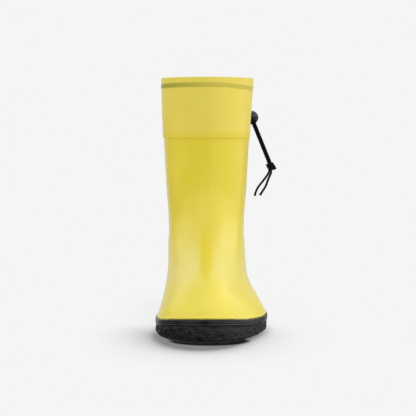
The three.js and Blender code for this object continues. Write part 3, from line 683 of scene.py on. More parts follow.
# a slot with round ends running along the strands through the lock
def slotCutter(wide, high, back, square=False):
    straight = wide / 2 - (0.25 if square else high / 2)
    corner = 0.25 if square else high / 2
    outline = []
    for sx, sy, start in ((1, -1, -90), (1, 1, 0), (-1, 1, 90), (-1, -1, 180)):
        centre = (sx * straight, sy * (high / 2 - corner))
        outline += arcPoints(corner, start, start + 90, 7, centre)
    side, down = Vector(cordSet["side"]), Vector(cordSet["lean"])
    centre = Vector(lockSet["centre"]) + Vector((0, back, 0))
    work = bmesh.new()
    ends = []
    for along in (-12, 12):
        ends.append([work.verts.new((centre + side * x + Vector((0, y, 0)) + down * along) * mm) for x, y in outline])
    count = len(outline)
    for i in range(count):
        j = (i + 1) % count
        work.faces.new((ends[0][i], ends[0][j], ends[1][j], ends[1][i]))
    work.faces.new(ends[0])
    work.faces.new(ends[1])
    bmesh.ops.remove_doubles(work, verts=work.verts, dist=1e-6)
    bmesh.ops.recalc_face_normals(work, faces=work.faces)
    mesh = bpy.data.meshes.new("slotCutter")
    work.to_mesh(mesh)
    work.free()
    return addObject("slotCutter", mesh)


def lockBody():
    radius, bore, lip = lockSet["radius"], lockSet["bore"], lockSet["lip"]
    mouth = math.degrees(math.acos((bore + lip) / radius))
    ball = arcPoints(radius, -90, mouth, 60)
    ball[0] = (0.0, -radius)
    # a fine parting line where the two halves of the mould met
    ball = [(r * (1 - 0.008 * bump(z, 0.9, 0.16)), z) for r, z in ball]
    rimHeight = ball[-1][1]
    profile = [*ball, (bore + 0.15, rimHeight + 0.12), (bore, rimHeight - 0.25),
               (bore, lockSet["floor"] + lockSet["seat"]), (lockSet["seatBore"], lockSet["floor"] + lockSet["seat"]),
               (lockSet["seatBore"], lockSet["floor"]), (0.0, lockSet["floor"])]
    body = turnedPiece("cordLockBall", profile, lockSet["centre"], (0, 1, 0), 96)
    cutPiece(body, [slotCutter(lockSet["slotWide"], lockSet["slotHigh"], lockSet["slotBack"])], 35)
    return body


def lockPlunger():
    radius, start, end = lockSet["plunger"], lockSet["plungerFrom"], lockSet["plungerTo"]
    profile = [(0.0, start), (radius - 0.4, start), (radius - 0.1, start + 0.12), (radius, start + 0.4),
               (radius, end - 1.7), *arcPoints(1.0, 0, 90, 8, (radius - 1.0, end - 1.35)),
               (radius - 1.5, end - 0.35), (radius - 1.7, end - 0.5), (radius - 2.2, end - 0.42),
               (1.0, end - 0.3), (0.0, end - 0.28)]
    plunger = turnedPiece("cordLockButton", profile, lockSet["centre"], (0, 1, 0), 64)
    long = lockSet["slotHigh"] + lockSet["travel"]
    back = lockSet["slotBack"] - lockSet["slotHigh"] / 2 + long / 2
    cutPiece(plunger, [slotCutter(lockSet["slotWide"], long, back, True)], 35)
    return plunger


lockBall, lockButton = lockBody(), lockPlunger()
install(lockBall, "cord_lock", "lock", looks["lock"], "cord_lock_body")
install(lockButton, "lock_button", "lock", looks["lock"], "cord_lock_plunger")
dress(nodes["cord_lock_spring"], looks["spring"])


# the spring between the bore's floor and the button, made at rest
def lockSpring():
    wire, turnCount = lockSet["springWire"], lockSet["springTurns"]
    low = lockSet["floor"] + wire / 2 + 0.04
    high = lockSet["plungerFrom"] - wire / 2 - 0.04
    steps = 36 * turnCount
    share = np.linspace(0, 1, steps + 1)
    # the end turns lie flat
    climb = smoothStep(share, 0.12, 0.88) * 0.55 + np.clip((share - 0.1) / 0.8, 0, 1) * 0.45
    angle = 2 * np.pi * turnCount * share
    centre = np.array(lockSet["centre"])
    line = centre + np.stack([
        (lockSet["springWide"] / 2) * np.cos(angle), low + (high - low) * climb,
        (lockSet["springWide"] / 2) * np.sin(angle)], 1)
    tangents, firsts, seconds = carriedFrames(line)
    around = 2 * np.pi * np.arange(12) / 12
    rings = [point + wire / 2 * (np.cos(around)[:, None] * a + np.sin(around)[:, None] * b)
             for point, a, b in zip(line, firsts, seconds)]
    return loftPiece("lockSpring", rings, "caps", 50)


spring = lockSpring()
install(spring, "cord_lock", "spring", looks["spring"], "cord_lock_spring")
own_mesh(spring)


print("cords, knot and lock made")


# the form the boot is made on
girthPlaces = [0.13, 0.42, 0.68, 0.93]  # heel, waist, ball, toe
centres = [-5, 2, 1, -9]
shaftCentre = -5
soleFullness = 0.88
# front reach and height, back reach and height, four half widths, and how far the level has turned flat
formLevels = np.array([
    [-134, 14.5, 134, 19, 46.5, 35, 54, 55.5, 0],
    [-134.5, 22, 134.5, 28, 46.5, 36, 55, 56.5, 0.05],
    [-133, 33, 134.5, 38, 46, 39, 50, 53, 0.3],
    [-127.5, 44, 133.5, 48, 45.5, 40.7, 44, 45, 0.7],
    [-117, 53.5, 132, 58, 44.8, 41, 38.6, 36, 0.9],
    [-101, 61, 130, 68, 43.8, 41, 34.8, 27, 0.97],
    [-80, 67.5, 127, 78, 42.6, 41, 34.5, 24, 1],
    [-56, 75.5, 124.5, 88, 41.7, 40.4, 36, 26, 1],
    [-32, 87, 122.5, 98, 41.3, 40.4, 38, 31, 1],
    [-11, 103, 121, 108, 41.2, 40.8, 39.4, 36, 1],
    [2, 122, 120.5, 122, 42, 42, 41.6, 40.6, 1],
    [7, 145, 122, 145, 43.5, 43.5, 43.5, 43.5, 1],
    [8, 165, 124.5, 165, 44.5, 44.5, 44.5, 44.5, 1],
    [7.5, 190, 128, 190, 45.9, 45.9, 45.9, 45.9, 1],
    [5.8, 218, 131, 218, 47.3, 47.3, 47.3, 47.3, 1],
    [4.5, 246, 133, 246, 48.5, 48.5, 48.5, 48.5, 1],
], float)
topLevel = len(formLevels) - 1
levelPlaces = np.arange(topLevel + 1)
bedReach = 134.0

bedPlaces = [0, 0.13, 0.42, 0.68, 0.85, 1]
bedHeights = [19, 19, 12.5, 7, 9.2, 14.5]
cupRises = [3.5, 3.4, 1.1, 1.6, 3.3, 6]


def bedAt(share):
    return cubicThrough(bedPlaces, bedHeights, share)


def cupTop(share):
    return bedAt(share) + cubicThrough(bedPlaces, cupRises, share, True)


def bedUnder(points):
    return bedAt((bedReach - points[..., 1]) / (2 * bedReach))


def toeShare(turn):
    return (1 + np.cos(turn)) / 2


def girthAt(share, girths):
    weights = cubicThrough(girthPlaces, np.eye(4), share, True)
    return (weights * girths).sum(-1)


def skin(turn, level):
    turn, level = np.broadcast_arrays(turn, level)
    row = cubicThrough(levelPlaces, formLevels, level)
    share = toeShare(turn)
    flat = np.clip(row[..., 8], 0, 1)
    side = np.sin(turn)
    fullness = soleFullness + (1 - soleFullness) * flat
    half = girthAt(share, row[..., 4:8]) * np.sign(side) * np.abs(side) ** fullness
    middle = cubicThrough(girthPlaces, centres, share, True)
    bend = bedAt(share) - (bedHeights[0] + (bedHeights[-1] - bedHeights[0]) * share)
    return np.stack([
        middle + (shaftCentre - middle) * flat + half,
        row[..., 2] + (row[..., 0] - row[..., 2]) * share,
        row[..., 3] + (row[..., 1] - row[..., 3]) * share + bend * (1 - flat)], -1)


# points moved outwards from the skin, or inwards where out is negative
def skinAt(turn, level, out=0.0):
    step = 0.02
    along = skin(turn + step, level) - skin(turn - step, level)
    up = skin(turn, np.minimum(topLevel, level + step)) - skin(turn, np.maximum(0, level - step))
    normal = np.cross(along, up)
    normal /= np.linalg.norm(normal, axis=-1)[..., None]
    return skin(turn, level) + normal * np.asarray(out, float)[..., None]


def levelFor(turn, height):
    turn, height = np.broadcast_arrays(turn, height)
    low, high = np.zeros(turn.shape), np.full(turn.shape, float(topLevel))
    for _ in range(28):
        middle = (low + high) / 2
        under = skin(turn, middle)[..., 2] < height
        low, high = np.where(under, middle, low), np.where(under, high, middle)
    return (low + high) / 2


def ringAtHeight(turns, height, out):
    height = height(toeShare(turns)) if callable(height) else height
    points = skinAt(turns, levelFor(turns, height), out)
    points[:, 2] = height
    return points


def ringOverBed(turns, rise, out):
    points = ringAtHeight(turns, lambda share: bedAt(share) + rise, out)
    points[:, 2] = bedUnder(points) + rise
    return points


def turnsOf(count):
    return 2 * np.pi * np.arange(count) / count


shellSet = {
    "columns": 176, "wall": 2.2, "top": 191.0, "margin": 13.0,
    "foxingHeight": 5.7, "bead": 0.8, "beadAbove": 0.95, "beadSpread": 0.7,
    "shaftFill": 0.55, "hollow": 1.7, "hollowAt": 44.0, "hollowSpread": 13.0,
    "wander": 0.12, "wanderSize": 38.0,
}


def foxingTop(share):
    return cupTop(share) + 0.35 + shellSet["foxingHeight"]


def planInset(points, inset):
    inset = np.broadcast_to(inset, len(points))
    along = np.roll(points, -1, 0) - np.roll(points, 1, 0)
    along[:, 2] = 0
    along /= np.linalg.norm(along, axis=1)[:, None]
    moved = points.copy()
    moved[:, 0] -= along[:, 1] * inset
    moved[:, 1] += along[:, 0] * inset
    return moved


def shellPiece():
    turns = turnsOf(shellSet["columns"])
    share = toeShare(turns)
    levels = np.concatenate([np.linspace(0, 1.2, 26), np.linspace(1.2, 6, 44)[1:], np.linspace(6, 11.4, 40)[1:]])
    rings = []
    beadAt = foxingTop(share) + shellSet["beadAbove"]
    for level in levels:
        plain = skin(turns, level)
        out = shellSet["bead"] * bump(plain[:, 2], beadAt, shellSet["beadSpread"])
        # a slightly fuller shaft, and a shallow hollow on the outer side of the foot
        out = out + shellSet["shaftFill"] * smoothStep(plain[:, 2], 85, 115)
        out = out - (shellSet["hollow"] * bump(plain[:, 2], shellSet["hollowAt"], shellSet["hollowSpread"])
                     * smoothStep(np.sin(turns), 0.25, 0.8) * smoothStep(plain[:, 1], 40, -10))
        # hand-laid rubber is never quite true
        out = out + shellSet["wander"] * bumpyNoise(plain, shellSet["wanderSize"]) * smoothStep(level, 1.5, 3)
        rings.append(skinAt(turns, level, out))
    for height in np.linspace(rings[-1][:, 2].max() + 1.5, shellSet["top"] - 0.8, 26):
        points = ringAtHeight(turns, height, 0.0)
        free = float(smoothStep(-height, -186.5, -183.8))
        out = shellSet["wander"] * bumpyNoise(points, shellSet["wanderSize"]) + shellSet["shaftFill"]
        rings.append(ringAtHeight(turns, height, out * free))
    wall = shellSet["wall"]
    rings += [ringAtHeight(turns, shellSet["top"] - 0.2, -0.2), ringAtHeight(turns, shellSet["top"], -0.6),
              ringAtHeight(turns, shellSet["top"], -wall + 0.4), ringAtHeight(turns, shellSet["top"] - 0.4, -wall)]
    for level in np.concatenate([np.linspace(12.8, 6, 18), np.linspace(6, 0.6, 24)[1:]]):
        rings.append(skinAt(turns, level, -wall))
    rings.append(ringOverBed(turns, wall, -wall))
    for rise in (wall, 0.0):
        margin = planInset(skin(turns, 0.0), shellSet["margin"])
        margin[:, 2] = bedUnder(margin) + rise
        rings.append(margin)
    return loftPiece("bootShell", rings)


shell = shellPiece()
install(shell, "boot", "shell", looks["shell"], "boot_shell")
print("boot shell made")


# the collar is welded over the shell, its top folded into a hem
collarSet = {
    "columns": 176, "low": 183.4, "high": 246.0, "rimSwell": 0.9, "lean": 0.9, "edgeBead": 0.22,
    "inside": 0.3, "outside": 1.4,
    "channelMiddle": 238.2, "channelLow": 234.4, "channelHigh": 243.5, "channelBack": -3.5, "hemBack": -4.6,
    "ridge": 0.32, "ridgeSpread": 1.5, "weld": 0.16, "weldAt": 231.0, "lapStep": 0.22, "lapAt": 192.0,
    "waver": 0.16,
}


# the loose collar leans a little towards the cord
def leaned(points):
    points = points.copy()
    points[..., 0] += collarSet["lean"] * smoothStep(points[..., 2], 198, 246)
    return points


def collarOutside(height):
    lapAt = collarSet["lapAt"]
    shape = collarSet["outside"] - collarSet["lapStep"] * smoothStep(height, lapAt - 0.6, lapAt + 2.2)
    shape += collarSet["ridge"] * bump(height, collarSet["channelMiddle"], collarSet["ridgeSpread"])
    shape += collarSet["edgeBead"] * bump(height, collarSet["low"] + 1.3, 0.6)
    shape -= collarSet["weld"] * bump(height, collarSet["weldAt"], 0.5)
    return float(shape)


def collarPiece():
    turns = turnsOf(collarSet["columns"])
    low, high, inside = collarSet["low"], collarSet["high"], collarSet["inside"]

    def wavered(height, out):
        points = ringAtHeight(turns, height, out)
        loose = float(smoothStep(height, 194, 214) * smoothStep(-height, -246, -236))
        shift = collarSet["waver"] * bumpyNoise(points, 30.0) * loose
        return ringAtHeight(turns, height, out + shift)

    rings = [ringAtHeight(turns, low, inside + 0.15), ringAtHeight(turns, low, 1.05),
             ringAtHeight(turns, low + 0.12, 1.3)]
    heights = np.concatenate([[low + 0.35], np.linspace(low + 0.9, 229, 44), np.linspace(229.4, high - 1.4, 34)])
    rings += [wavered(height, collarOutside(height)) for height in heights]
    rimRadius = 1.1
    edge, back = collarOutside(high - 1.4), collarSet["hemBack"]
    for out, rise in arcPoints(rimRadius, 0, 90, 7)[1:]:
        rings.append(ringAtHeight(turns, high - rimRadius + rise, edge - rimRadius + out))
    for out, rise in arcPoints(rimRadius, 90, 180, 7):
        rings.append(ringAtHeight(turns, high - rimRadius + rise, back + rimRadius + out))
    rings += [ringAtHeight(turns, height, back) for height in np.linspace(high - 3.5, 232.6, 8)]
    rings += [ringAtHeight(turns, 232.0, back + 0.25), ringAtHeight(turns, 231.4, back + 1.0),
              ringAtHeight(turns, 230.8, -1.2), ringAtHeight(turns, 230.3, inside - 0.1)]
    rings += [ringAtHeight(turns, height, inside) for height in np.linspace(229.4, low + 0.15, 16)]
    # the rim stands a little higher at the sides
    for ring in rings:
        ring[:, 2] += collarSet["rimSwell"] * np.sin(turns) ** 4 * smoothStep(ring[:, 2], 241, 246)
    collar = loftPiece("collar", [leaned(ring) for ring in rings])
    channel = loftPiece("channelCutter", [leaned(ring) for ring in (
        ringAtHeight(turns, collarSet["channelLow"], -0.4), ringAtHeight(turns, collarSet["channelLow"] + 1.2, inside),
        ringAtHeight(turns, collarSet["channelHigh"] - 1.2, inside),
        ringAtHeight(turns, collarSet["channelHigh"], -0.9),
        ringAtHeight(turns, collarSet["channelHigh"], -2.6),
        ringAtHeight(turns, collarSet["channelHigh"] - 1.2, collarSet["channelBack"]),
        ringAtHeight(turns, collarSet["channelLow"] + 1.2, collarSet["channelBack"]),
        ringAtHeight(turns, collarSet["channelLow"], -2.6))])
    holes = [turnedPiece("holeCutter", [(0, -3), (2.9, -3), (2.9, 3), (0, 3)], place, outward, 32)
             for place, outward in eyeletPlaces]
    cutPiece(collar, [channel, *holes])
    return collar


def facetPlace(column):
    turn = np.array([2 * np.pi * column / 32])
    height = collarSet["channelMiddle"]
    inner = ringAtHeight(turn, height, 0.0)[0]
    outer = skinAt(turn, levelFor(turn, height), collarSet["outside"])[0]
    outward = outer - skin(turn, levelFor(turn, height))[0]
    outward /= np.linalg.norm(outward)
    return leaned(inner + outward * (collarSet["outside"] - 0.2)), outward


eyeletPlaces = [facetPlace(10.5), facetPlace(12.5)]
collar = collarPiece()
install(collar, "boot", "collar", looks["collar"], "collar")


# rolled grommets round the two cord holes
eyeletSet = {"bore": 1.6, "barrel": 2.6, "flange": 4.2, "curl": 3.2}


def eyeletPiece(name, place, outward):
    bore, barrel, flange = eyeletSet["bore"], eyeletSet["barrel"], eyeletSet["flange"]
    roll = arcPoints((flange - bore) / 2 - 0.15, 0, 180, 14)
    middle = (flange + bore) / 2
    rolled = [(middle + x, 0.42 + y * 0.42) for x, y in roll]
    profile = [(bore, -1.5), (bore + 0.2, -1.75), (eyeletSet["curl"] - 0.2, -1.75), (eyeletSet["curl"], -1.6),
               (eyeletSet["curl"] - 0.1, -1.4), (barrel, -1.35), (barrel, 0.35), (flange - 0.25, 0.35),
               (flange, 0.5), *rolled[1:-1], (bore + 0.05, 0.4), (bore, 0.1)]
    return turnedPiece(name, profile, place, outward, 56)


for name, node, (place, outward) in zip(
        ("eyeletFront", "eyeletRear"), ("eyelet_front", "eyelet_rear"), eyeletPlaces):
    install(eyeletPiece(name, place, outward), "boot", "eyelet", looks["eyelet"], node)
dress(nodes["drawcord_hem_run"], looks["cord"])
print("collar and eyelets made")


# strip and tape down the back
def backBand(name, lowAt, highAt, inOut, wall, skive, rows):
    turns = np.radians(np.linspace(168.75, 191.25, 29))
    share = toeShare(turns)
    low = lowAt(share) if callable(lowAt) else np.full(turns.shape, float(lowAt))
    across = np.abs(np.linspace(-1, 1, len(turns)))
    outer, inner = [], []
    for step in np.linspace(0, 1, rows):
        height = low + (highAt - low) * step
        level = levelFor(turns, height)
        fromEnd = np.minimum(height - low, highAt - height)
        thick = wall * (1 - skive * smoothStep(across, 0.72, 1.0)) * (1 - skive * smoothStep(-fromEnd, -2.0, 0))
        outer.append(skinAt(turns, level, inOut + thick))
        inner.append(skinAt(turns, level, np.full(turns.shape, float(inOut))))
    return panelPiece(name, np.array(outer), np.array(inner))


backStrip = backBand("backStrip", lambda share: foxingTop(share) + 3.2, 181.2, 0.3, 1.15, 0.6, 90)
install(backStrip, "boot", "shell", looks["shell"], "back_strip")
seamTape = backBand("seamTape", 186.2, 230.0, 1.55, 0.5, 0.55, 36)
install(seamTape, "boot", "collar", looks["collar"], "collar_seam_tape")
print("back strip and tape made")


soleSet = {
    "columns": 480, "girths": (49, 36.5, 55.5, 58), "reach": 137.0, "toeSpring": 5.3,
    "archFront": -10.0, "breast": 62.0, "archRise": 8.0,
    "edgeRound": 4.0, "toeRoundInner": 14.0, "toeRoundOuter": 6.0, "roundFrom": 0.66, "roundTo": 0.95, "swell": 1.2,
    "lump": 0.9, "lumpSize": 5.5, "chip": 0.5, "chipSize": 2.2,
    "groove": 3.0, "grooveWide": 4.0, "pitch": 11.0, "treadRim": 6.0, "lean": 0.22,
}


def soleOutline(turns):
    share = toeShare(turns)
    side = np.sin(turns)
    half = girthAt(share, np.array(soleSet["girths"], float)) * np.sign(side) * np.abs(side) ** soleFullness
    middle = cubicThrough(girthPlaces, centres, share, True)
    return np.stack([middle + half, soleSet["reach"] * (1 - 2 * share), np.zeros(turns.shape)], -1)


def groundAt(points):
    share = (soleSet["reach"] - points[:, 1]) / (2 * soleSet["reach"])
    spring = soleSet["toeSpring"] * np.maximum(0, (share - 0.78) / 0.22) ** 2
    arch = np.interp(points[:, 1],
                     [soleSet["archFront"], soleSet["archFront"] + 18, soleSet["breast"] - 0.9, soleSet["breast"]],
                     [0, soleSet["archRise"] * 0.75, soleSet["archRise"], 0])
    return spring + arch


def outsolePiece():
    turns = turnsOf(soleSet["columns"])
    share = toeShare(turns)
    outline = soleOutline(turns)
    top = cupTop(share)
    rings = []
    # the lower edge is rounded, and more so round the toe
    toeward = smoothStep(share, soleSet["roundFrom"], soleSet["roundTo"])
    inward = smoothStep(-np.sin(turns), -0.5, 0.7)
    toeRound = soleSet["toeRoundOuter"] + (soleSet["toeRoundInner"] - soleSet["toeRoundOuter"]) * inward
    wide = soleSet["edgeRound"] + (toeRound - soleSet["edgeRound"]) * toeward
    tall = np.minimum(wide * 0.66, (top - groundAt(outline)) * 0.6)
    flush = -soleSet["swell"] * (0.4 + 0.6 * toeward)
    for angle in np.radians((0, 8, 17, 27, 38, 50, 63, 76)):
        ring = planInset(outline, flush + wide * (1 - math.sin(angle)))
        ring[:, 2] = groundAt(ring) + tall * (1 - math.cos(angle))
        rings.append(ring)
    for step in np.linspace(0, 1, 18):
        ring = planInset(outline, flush * (1 - step ** 3))
        base = groundAt(ring) + tall
        ring[:, 2] = base + (top - base) * step
        rings.append(ring)
    # crumbly moulded side: low lumps with finer chips, fading at the top edge and the ground
    rings = [roughened(ring, float(smoothStep(k, 0, 5) * (1 - 0.6 * smoothStep(k, 22, 25))))
             for k, ring in enumerate(rings)]
    rings += [ringAtHeight(turns, lambda s: cupTop(s) + 0.05, 1.2), ringAtHeight(turns, cupTop, 0.5)]
    inner = skinAt(turns, np.zeros(turns.shape), np.full(turns.shape, 0.5))
    inner[:, 2] = bedUnder(inner) - 0.3
    rings.append(inner)
    sole = loftPiece("outsole", rings, "caps", 32)
    cutPiece(sole, [treadCutter()], 32)
    return sole


def roughened(ring, share):
    along = np.roll(ring, -1, 0) - np.roll(ring, 1, 0)
    along[:, 2] = 0
    along /= np.linalg.norm(along, axis=1)[:, None]
    outward = np.stack([along[:, 1], -along[:, 0], np.zeros(len(ring))], -1)
    lumps = soleSet["lump"] * bumpyNoise(ring, soleSet["lumpSize"])
    chips = soleSet["chip"] * bumpyNoise(ring + 50, soleSet["chipSize"])
    return ring + outward * ((lumps + chips - 0.12) * share)[:, None]


# chevron grooves that stop short of the edge, cut from below
def treadCutter():
    turns = turnsOf(720)
    edge = planInset(soleOutline(turns), soleSet["treadRim"])
    rightSide = edge[: 361][np.argsort(edge[: 361, 1])]
    leftSide = edge[360:][np.argsort(edge[360:, 1])]

    def reach(y, side):
        line = rightSide if side > 0 else leftSide
        return np.interp(y, line[:, 1], line[:, 0])

    work = bmesh.new()
    wide, lean, depth = soleSet["grooveWide"], soleSet["lean"], soleSet["groove"]
    y = -(soleSet["reach"] - 14)
    while y < soleSet["reach"] - 8:
        tips = {}
        for side in (-1, 1):
            x = reach(y - 5, side)
            for _ in range(4):
                x = reach(y - abs(x) * lean + wide / 2, side)
            tips[side] = x
        lowest = y - max(abs(tips[-1]), abs(tips[1])) * lean
        inForefoot = y + wide < soleSet["archFront"] - soleSet["treadRim"]
        inHeel = lowest > soleSet["breast"] + soleSet["treadRim"]
        if inForefoot or inHeel:
            left, right = tips[-1], tips[1]
            outline = [(left, y - abs(left) * lean), (0, y), (right, y - abs(right) * lean),
                       (right, y - abs(right) * lean + wide), (0, y + wide), (left, y - abs(left) * lean + wide)]
            low = [work.verts.new((a * mm, b * mm, -2 * mm)) for a, b in outline]
            high = [work.verts.new((a * mm, b * mm, depth * mm)) for a, b in outline]
            for i in range(6):
                j = (i + 1) % 6
                work.faces.new((low[i], low[j], high[j], high[i]))
            for ring in (low, high):
                work.faces.new((ring[0], ring[1], ring[4], ring[5]))
                work.faces.new((ring[1], ring[2], ring[3], ring[4]))
        y += soleSet["pitch"]
    bmesh.ops.recalc_face_normals(work, faces=work.faces)
    mesh = bpy.data.meshes.new("treadCutter")
    work.to_mesh(mesh)
    work.free()
    return addObject("treadCutter", mesh)


outsole = outsolePiece()
install(outsole, "boot", "sole", looks["sole"], "outsole")


# the foxing is a smooth band with two ribs, laid by hand so that it wanders a little
foxingSet = {
    "columns": 480, "wander": 0.22, "wanderSize": 26.0, "ribChange": 0.6, "ribSize": 12.0,
    # how far out, how far up, and how much of it is rib
    "profile": [
        (1.8, 0.0, 0.0), (2.0, 0.2, 0.4), (2.2, 0.5, 1.0), (2.3, 0.85, 1.0), (2.2, 1.2, 1.0), (2.0, 1.5, 0.5),
        (1.85, 1.8, 0.1), (1.85, 2.3, 0.2), (2.0, 2.6, 0.8), (2.12, 2.9, 1.0), (2.0, 3.2, 0.6), (1.9, 3.5, 0.1),
        (1.92, 4.3, 0.0), (1.86, 4.9, 0.0), (1.7, 5.4, 0.0), (1.4, 5.8, 0.0), (1.0, 6.02, 0.0), (0.6, 6.05, 0.0),
        (0.3, 5.9, 0.0), (0.3, 3.2, 0.0), (0.3, 0.2, 0.0), (0.8, 0.0, 0.0),
    ],
}


def foxingPiece():
    turns = turnsOf(foxingSet["columns"])
    low = cupTop(toeShare(turns)) + 0.05
    base = ringAtHeight(turns, lambda share: cupTop(share) + 3.0, 0.0)
    wander = foxingSet["wander"] * bumpyNoise(base, foxingSet["wanderSize"])
    change = foxingSet["ribChange"] * bumpyNoise(base + 90, foxingSet["ribSize"])
    rings = []
    for out, rise, rib in foxingSet["profile"]:
        middle = math.sin(math.pi * min(1.0, max(0.0, rise / 6.4)))
        height = low + rise + wander * middle
        rings.append(ringAtHeight(turns, lambda share: height, out + rib * change * 0.6))
    return loftPiece("foxingStrip", rings, "hoop", 50)


install(foxingPiece(), "boot", "foxing", looks["foxing"], "foxing_strip")
print("sole and foxing made")


# lining, footbed and the hidden pieces
insideSet = {"columns": 144, "liningFoot": -4.3, "liningShaft": -2.6, "liningWall": 1.0, "liningRise": 4.3,
             "liningTop": 189.0, "footbedRise": 5.75, "footbedOut": -6.2, "footbedWall": 4.7}


def liningOut(level):
    start, stop = insideSet["liningFoot"], insideSet["liningShaft"]
    return start + (stop - start) * smoothStep(level, 6, 9)


def liningPiece():
    turns = turnsOf(insideSet["columns"])
    wall, rise, top = insideSet["liningWall"], insideSet["liningRise"], insideSet["liningTop"]
    levels = np.concatenate([np.linspace(0.9, 6, 30), np.linspace(6, 12.8, 34)[1:]])
    rings = [ringOverBed(turns, rise, liningOut(0))]
    rings += [skinAt(turns, level, liningOut(level)) for level in levels]
    rings += [ringAtHeight(turns, top - 0.3, liningOut(14)), ringAtHeight(turns, top, liningOut(14) - 0.3),
              ringAtHeight(turns, top, liningOut(14) - wall + 0.2),
              ringAtHeight(turns, top - 0.3, liningOut(14) - wall)]
    rings += [skinAt(turns, level, liningOut(level) - wall) for level in levels[::-1]]
    rings.append(ringOverBed(turns, rise + wall, liningOut(0) - wall))
    return loftPiece("liningSock", rings, "caps")


def footbedPiece():
    turns = turnsOf(insideSet["columns"])
    low, out, wall = insideSet["footbedRise"], insideSet["footbedOut"], insideSet["footbedWall"]
    rings = [ringOverBed(turns, low, out - 0.5), ringOverBed(turns, low + 0.4, out)]
    rings += [ringOverBed(turns, low + wall * 0.75, out - 0.3)]
    # the top rolls over and dips into a shallow cup
    for inset, rise in ((0.5, 1.35), (0.9, 1.6), (1.6, 1.75), (2.6, 1.7), (4.5, 1.35), (7.5, 0.85), (11.0, 0.45),
                        (15.0, 0.2), (19.0, 0.05)):
        rings.append(ringOverBed(turns, low + wall * 0.78 + rise, out - inset))
    return loftPiece("footbed", rings, "caps", 50)


install(liningPiece(), "boot", "lining", looks["lining"], "lining")
install(footbedPiece(), "boot", "footbed", looks["footbed"], "footbed")
for node, look in (("toe_puff", "stiffener"), ("heel_counter", "stiffener"), ("insole_board", "board"),
                   ("midsole_filler", "filler"), ("shank", "shank")):
    dress(nodes[node], looks[look])
print("inside made")


# floor, backdrop and light
stageSet = {
    "pale": 0.913, "floorSize": 12.0, "floorDrop": 0.0002,
    "shadowReach": 0.075, "shadowDark": 0.25, "shadowFull": 0.4, "shadowLean": (0.12, 0.2, 0.972),
    "shadowFront": (-0.085, -0.02), "shadowBack": 0.1,
    "contactShadow": (-0.002, -0.103, 0.037, 0.0195),  # middle and half sizes of the painted black shadow patch under the toe
    # from this height of the sky to that one, the light goes from this to that
    "softFill": (0.0, 0.8, 0.5, 0.85), "glossFill": (0.03, 0.45, 0.07, 1.1),
    "backdrop": (0.62, 1.0, 0.0, 0.6), "aimAbove": (0, 0.03, 0.12), "aimLow": (0, 0.03, 0.05),
}


def floorPiece():
    mesh = bpy.data.meshes.new("floor")
    reach = stageSet["floorSize"]
    corners = [(-reach, -reach, 0), (reach, -reach, 0), (reach, reach, 0), (-reach, reach, 0)]
    mesh.from_pydata(corners, [], [(0, 1, 2, 3)])
    floor = addObject("floor", mesh)
    floor.location.z = -stageSet["floorDrop"]
    material = bpy.data.materials.new("paleFloor")
    material.use_nodes = True
    tree = material.node_tree
    tree.nodes.remove(tree.nodes["Principled BSDF"])
    glow = tree.nodes.new("ShaderNodeEmission")
    near = tree.nodes.new("ShaderNodeAmbientOcclusion")
    near.samples = 16
    near.inputs["Distance"].default_value = stageSet["shadowReach"]
    # the shadow leans a little, away from the brighter side
    leanTo = tree.nodes.new("ShaderNodeCombineXYZ")
    for socket, value in zip(leanTo.inputs, stageSet["shadowLean"]):
        socket.default_value = value
    tree.links.new(leanTo.outputs[0], near.inputs["Normal"])
    # the shadow is deepest in front of the toe
    split = tree.nodes.new("ShaderNodeSeparateXYZ")
    tree.links.new(tree.nodes.new("ShaderNodeTexCoord").outputs["Object"], split.inputs[0])
    front = rangeNode(tree, split.outputs["Y"], *stageSet["shadowFront"], 1.0, stageSet["shadowBack"])
    shade = rangeNode(tree, near.outputs["AO"], stageSet["shadowFull"], 1.0, 1.0, 0.0)
    fullDepth = stageSet["pale"] - stageSet["shadowDark"]
    depth = mathNode(tree, "MULTIPLY", mathNode(tree, "MULTIPLY", shade, front), fullDepth)
    tone = mathNode(tree, "SUBTRACT", stageSet["pale"], depth)
    # and a painted black shadow patch darkens the floor where the sole meets it
    middleX, middleY, halfX, halfY = stageSet["contactShadow"]
    across = mathNode(tree, "DIVIDE", mathNode(tree, "SUBTRACT", split.outputs["X"], middleX), halfX)
    along = mathNode(tree, "DIVIDE", mathNode(tree, "SUBTRACT", split.outputs["Y"], middleY), halfY)
    reachOut = mathNode(tree, "ADD", mathNode(tree, "MULTIPLY", across, across),
                        mathNode(tree, "MULTIPLY", along, along))
    tone = mathNode(tree, "MULTIPLY", tone, rangeNode(tree, reachOut, 0.75, 1.2, 0.05, 1.0))
    # the shadow is only seen, the light the floor throws back stays whole
    rays = tree.nodes.new("ShaderNodeLightPath")
    hidden = mathNode(tree, "SUBTRACT", 1.0, rays.outputs["Is Camera Ray"])
    unshaded = mathNode(tree, "MULTIPLY", hidden, mathNode(tree, "SUBTRACT", stageSet["pale"], tone))
    tree.links.new(mathNode(tree, "ADD", tone, unshaded), glow.inputs["Color"])
    tree.links.new(glow.outputs[0], tree.nodes["Material Output"].inputs["Surface"])
    mesh.materials.append(material)
    floor.visible_glossy = False


floorPiece()

world = bpy.data.worlds.new("studio")
world.use_nodes = True
worldTree = world.node_tree
background = worldTree.nodes["Background"]
rays = worldTree.nodes.new("ShaderNodeLightPath")
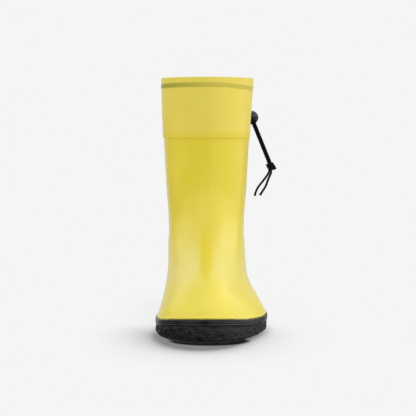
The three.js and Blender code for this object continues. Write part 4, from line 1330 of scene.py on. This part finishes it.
# a bright ceiling over a darker room, more so in reflections
skyward = worldTree.nodes.new("ShaderNodeSeparateXYZ")
worldTree.links.new(worldTree.nodes.new("ShaderNodeTexCoord").outputs["Generated"], skyward.inputs[0])
soft = rangeNode(worldTree, skyward.outputs["Z"], *stageSet["softFill"])
glossy = rangeNode(worldTree, skyward.outputs["Z"], *stageSet["glossFill"])
# the pale backdrop shows in the edges
backdrop = rangeNode(worldTree, skyward.outputs["Y"], *stageSet["backdrop"])
glossy = mathNode(worldTree, "MAXIMUM", glossy, backdrop)
asGlossy = mathNode(worldTree, "MULTIPLY", rays.outputs["Is Glossy Ray"], mathNode(worldTree, "SUBTRACT", glossy, soft))
fill = mathNode(worldTree, "ADD", soft, asGlossy)
seen = mathNode(worldTree, "MULTIPLY", rays.outputs["Is Camera Ray"], stageSet["pale"])
unseen = mathNode(worldTree, "SUBTRACT", 1.0, rays.outputs["Is Camera Ray"])
strength = mathNode(worldTree, "ADD", seen, mathNode(worldTree, "MULTIPLY", unseen, fill))
worldTree.links.new(strength, background.inputs["Strength"])
background.inputs["Color"].default_value = (1, 1, 1, 1)
world.cycles.sampling_method = "NONE"
scene.world = world
scene.view_settings.view_transform = "Standard"

lightSet = [
    # name, azimuth, elevation, distance, width, height, power, seen in reflections
    ("rightPanel", 74, 10, 1.2, 4.0, 2.2, 15.4, True),
    ("rightFill", 100, -3, 0.8, 0.7, 0.3, 1.2, False),
    ("leftFill", -98, -3, 0.8, 0.9, 0.3, 2.8, False),
    ("frontPanel", -6, 54, 1.4, 1.6, 1.4, 2.6, True),
]
for name, azimuth, elevation, distance, width, height, power, reflected in lightSet:
    lamp = bpy.data.lights.new(name, "AREA")
    lamp.shape = "RECTANGLE"
    lamp.size, lamp.size_y, lamp.energy = width, height, power
    lampObject = addObject(name, lamp)
    lampObject.visible_glossy = reflected
    aim = Vector(stageSet["aimAbove"] if elevation > 0 else stageSet["aimLow"])
    a, e = math.radians(azimuth), math.radians(elevation)
    lampObject.location = aim + distance * Vector((math.sin(a) * math.cos(e), -math.cos(a) * math.cos(e), math.sin(e)))
    lampObject.rotation_euler = (aim - lampObject.location).to_track_quat("-Z", "Y").to_euler()
print("stage and lights placed")
